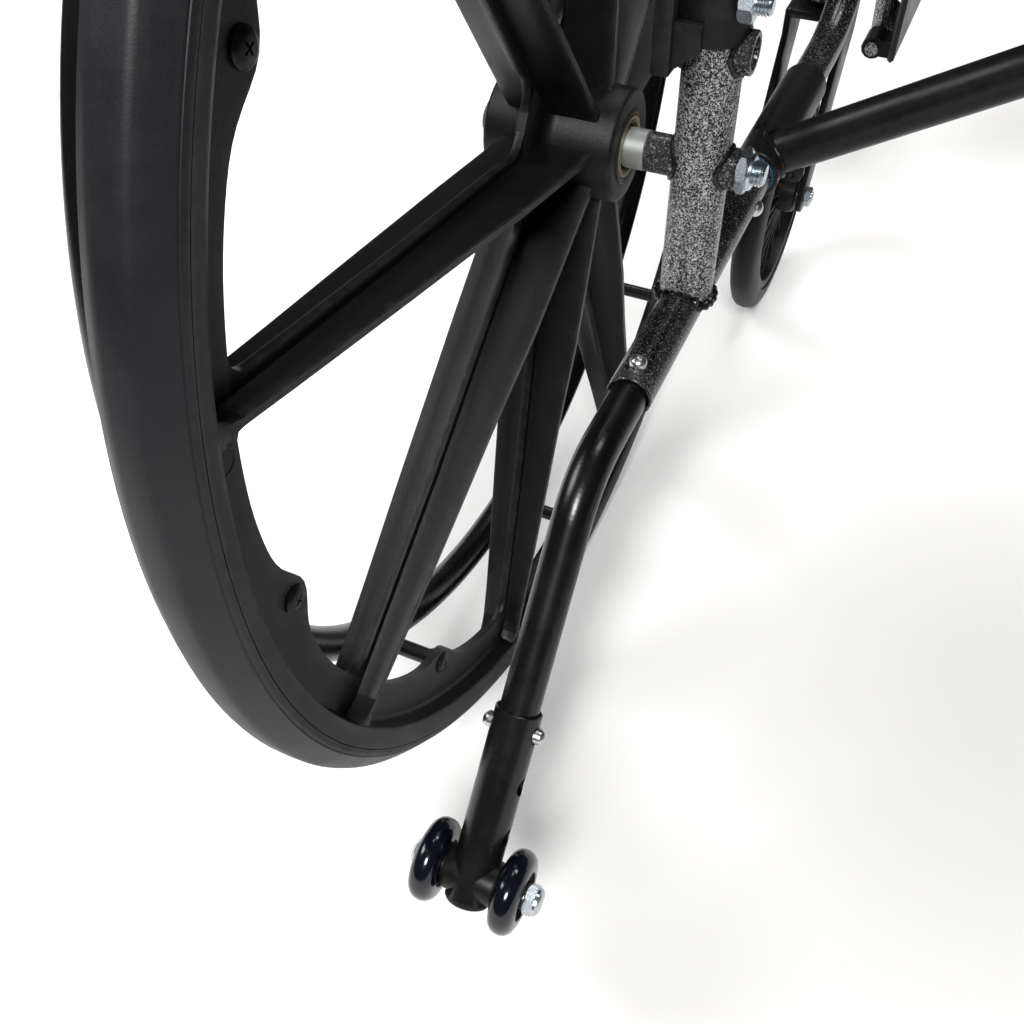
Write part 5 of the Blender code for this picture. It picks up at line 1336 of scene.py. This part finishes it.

# %% [markdown]
# ## Seat and back slings
# Both are nylon cloth stretched between two tubes. A grid is laid along the line that the
# cloth takes, with its own flat size as UV, so the weave keeps its scale. Hems are a second
# layer, and each stitch is a short thread. The seat is one width wrapped round both seat
# rails; its place is baked into its mesh. The back is a panel sewn to a wrap round each
# post: each wrap rides its own side, and the panel between them rides the left side.


# %% Cloth strips
def cloth_strip(name, line, shift, rows, thickness, crumple=0.0):
    """A grid laid along a line of points and pushed by a shift, its UV in metres."""
    lengths = [0.0]
    for a, b in zip(line, line[1:]):
        lengths.append(lengths[-1] + (b - a).length)
    last = len(line) - 1
    bm = bmesh.new()
    bmesh.ops.create_grid(bm, x_segments=last, y_segments=rows, size=1.0)
    layer = bm.loops.layers.uv.new("UVMap")
    flat = {}
    for vert in bm.verts:
        i = round((vert.co.x + 1.0) / 2 * last)
        v = (vert.co.y + 1.0) / 2
        normal = (line[min(last, i + 1)] - line[max(0, i - 1)]).cross(shift).normalized()
        share = lengths[i] / lengths[-1]
        slack = math.sin(math.pi * share) ** 2
        fold = math.sin(share * 21.0 + v * 3.0) * 0.5 + math.sin(share * 9.0 - v * 13.0 + 1.7) * 0.5
        edge = math.exp(-min(v, 1.0 - v) * 9.0)
        flat[vert.index] = (lengths[i], v * shift.length)
        vert.co = line[i] + shift * v + normal * (crumple * slack * fold * (0.35 + edge))
    for face in bm.faces:
        for corner in face.loops:
            corner[layer].uv = flat[corner.vert.index]
    mesh = as_mesh(name, bm)
    mesh.materials.append(nylon)
    mesh.polygons.foreach_set("use_smooth", [True] * len(mesh.polygons))
    obj = shown(name, mesh)
    thick = obj.modifiers.new("thickness", "SOLIDIFY")
    thick.thickness = thickness
    thick.offset = 0.0
    return obj, lengths[-1]


STITCH, STITCH_GAP, THREAD_R = 0.0032, 0.0018, 0.00035


def stitched(name, line, shifts):
    """Rows of short threads along a line, as one object that has no body yet."""
    rows = []
    for shift in shifts:
        travelled = 0.0
        for a, b in zip(line, line[1:]):
            step = (b - a).length
            while travelled < step:
                start = a + (b - a) * (travelled / step) + shift
                rows.append(rod(start, start + (b - a).normalized() * STITCH, THREAD_R, 6, 0.0001))
                travelled += STITCH + STITCH_GAP
            travelled -= step
    mesh = as_mesh(name, gather(*rows))
    mesh.materials.append(thread)
    return shown(name, mesh)


# %% Seat sling
def hangs_between(piece):
    """Cloth whose place is baked into its mesh."""
    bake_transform(piece)
    return piece


SAG = -0.018
seat_wrap = BRACE_R + 0.0003 + 0.0008
right = arc((-FRAME_X, SEAT_Z), seat_wrap, 235.0, 85.0, 18)
left = [(-x, z) for x, z in reversed(right)]
edge_x, edge_z = left[0]
middle = []
for i in range(1, 40):
    x = -edge_x + 2 * edge_x * i / 40
    middle.append((x, edge_z + SAG * (1 - (x / edge_x) ** 2)))
seat_line = [at(x, -0.022, z) for x, z in right + middle + left]
seat, seat_width = cloth_strip("seat_cloth", seat_line, Y * -0.396, 40, 0.0014, 0.0012)
hangs_between(seat)
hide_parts("seat_sling")
top_line = [at(p.x, 0.0, p.z + 0.0016) for p in seat_line[18:-18]]
for name, y in (("rear", -0.0225), ("front", -0.3955)):
    hem, _ = cloth_strip(f"seat_hem_{name}", [p + Y * y for p in top_line], Y * -0.022, 3, 0.001)
    hangs_between(hem)
stitch_line = [p - Y * 0.022 + Z * 0.0006 for p in top_line]
seat_rows = [Y * d for d in (-0.0035, -0.0195, -0.377, -0.393)]
seat_thread = hangs_between(stitched("seat_stitches", stitch_line, seat_rows))
print("seat cloth is", round(seat_width, 3), "by 0.396 m flat")

# %% Back sling
BACK_EDGE = FRAME_X + 0.004


def narrows(piece):
    """Cloth that rides the left side of the frame, with a mesh of its own."""
    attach(piece, "frame_left")
    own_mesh(piece)
    return piece


back_low_z, back_high_z = AXLE_Z + 0.225, AXLE_Z + 0.551
back_low_y, back_high_y = ((z - AXLE_Z - 0.215) * lean for z in (back_low_z, back_high_z))
rise = Vector((0.0, back_high_y - back_low_y, back_high_z - back_low_z))
back_wrap = POST_R + 0.0003 + 0.0008
for name, side in (("right", -1), ("left", 1)):
    outline = arc((-FRAME_X, 0.0), back_wrap, 270.0, 78.0, 20)
    line = [at(-side * x, y + back_low_y, back_low_z) for x, y in outline][::-side]
    wrap, _ = cloth_strip(f"back_wrap_{name}", line, rise, 12, 0.0012)
    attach(wrap, f"frame_{name}")
panel_line = []
for i in range(49):
    share = i / 24 - 1.0
    y = back_low_y + back_wrap + 0.0016 - SAG * (1 - share ** 2)
    panel_line.append(at(BACK_EDGE * share, y, back_low_z))
back, back_width = cloth_strip("back_cloth", panel_line, rise, 40, 0.0014, 0.0012)
narrows(back)
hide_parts("back_sling")
behind = [p + Y * 0.0016 for p in panel_line[1:-1]]
for name, share in (("low", 0.0), ("high", 0.925)):
    hem, _ = cloth_strip(f"back_hem_{name}", [p + rise * share for p in behind], rise * 0.07, 3, 0.001)
    narrows(hem)
back_rows = [rise * share for share in (0.008, 0.062, 0.933, 0.987)]
back_thread = narrows(stitched("back_stitches", [p + Y * 0.0008 for p in behind], back_rows))
print("back cloth is", round(back_width, 3), "by", round(rise.length, 3), "m flat")

# %% [markdown]
# ## Camera, floor and light
# The photograph looks down on the left wheel's inner face from behind the chair. The camera
# stands where the wheel's ellipse, the tubes and the rollers all fall on the picture. The
# floor is plain white paper that glows softly toward the horizon, and three large soft lamps
# light it from above, as in a studio.

# %% Camera
lens = bpy.data.cameras.new("camera")
lens.lens = 37.16
lens.sensor_width = 36.0
lens.shift_x = -0.0127
camera = shown("camera", lens)
camera.matrix_world = Matrix((
    (-0.9138, 0.293, -0.2812, 0.1131),
    (-0.4059, -0.682, 0.6084, 0.62565),
    (-0.0136, 0.6701, 0.7422, 0.5398),
    (0.0, 0.0, 0.0, 1.0),
))
bpy.context.scene.camera = camera
print("camera at", [round(v, 3) for v in camera.matrix_world.translation])

# %% Floor
PAPER = (0.8, 0.79, 0.78)
bm = bmesh.new()
bmesh.ops.create_grid(bm, x_segments=1, y_segments=1, size=6.0)
paper = as_mesh("floor", bm)
floor = shown("floor", paper)
white, tree, shader, place = bare(
    "White paper", Roughness=0.9, Specular_IOR_Level=0.1, Emission_Color=(1.0, 1.0, 1.0),
)
seen = tree.nodes.new("ShaderNodeLightPath").outputs["Is Camera Ray"]
away = wire(tree, "VectorMath", operation="LENGTH", Vector=place).outputs["Value"]
fade = ramp(tree, maths(tree, "MULTIPLY", away, 0.25), (0.25, 0.0), (0.55, 1.0))
glow = maths(tree, "MULTIPLY_ADD", fade, 0.83, 0.17)
fill(
    tree, shader, Base_Color=mixed(tree, fade, PAPER, (0.0, 0.0, 0.0)),
    Emission_Strength=maths(tree, "MULTIPLY", seen, glow),
)
paper.materials.append(white)
print("floor of", round(floor.dimensions.x), "m")

# %% Lamps and sky
world = bpy.data.worlds.new("studio")
bpy.context.scene.world = world
world.use_nodes = True
tree = world.node_tree
seen = tree.nodes.new("ShaderNodeLightPath").outputs["Is Camera Ray"]
sky = tree.nodes["Background"].inputs
fill(tree, sky, Color=(1.0, 1.0, 1.0), Strength=maths(tree, "MULTIPLY_ADD", seen, 0.93, 0.07))
target = Vector((0.2, 0.2, 0.3))
LAMPS = (
    ("key", (-0.25, 2.1, 2.3), 0.8, 78.0),
    ("side", (2.0, 0.6, 1.9), 1.2, 34.0),
    ("top", (0.1, -1.2, 2.7), 1.8, 72.0),
)
for name, place, size, watts in LAMPS:
    data = bpy.data.lights.new(name, "AREA")
    data.shape = "DISK"
    data.size = size
    data.energy = watts
    shown(name, data).matrix_world = aimed(Vector(place), Vector(place) - target)
    print("lamp", name, watts, "W")
bpy.context.scene.view_settings.view_transform = "Standard"
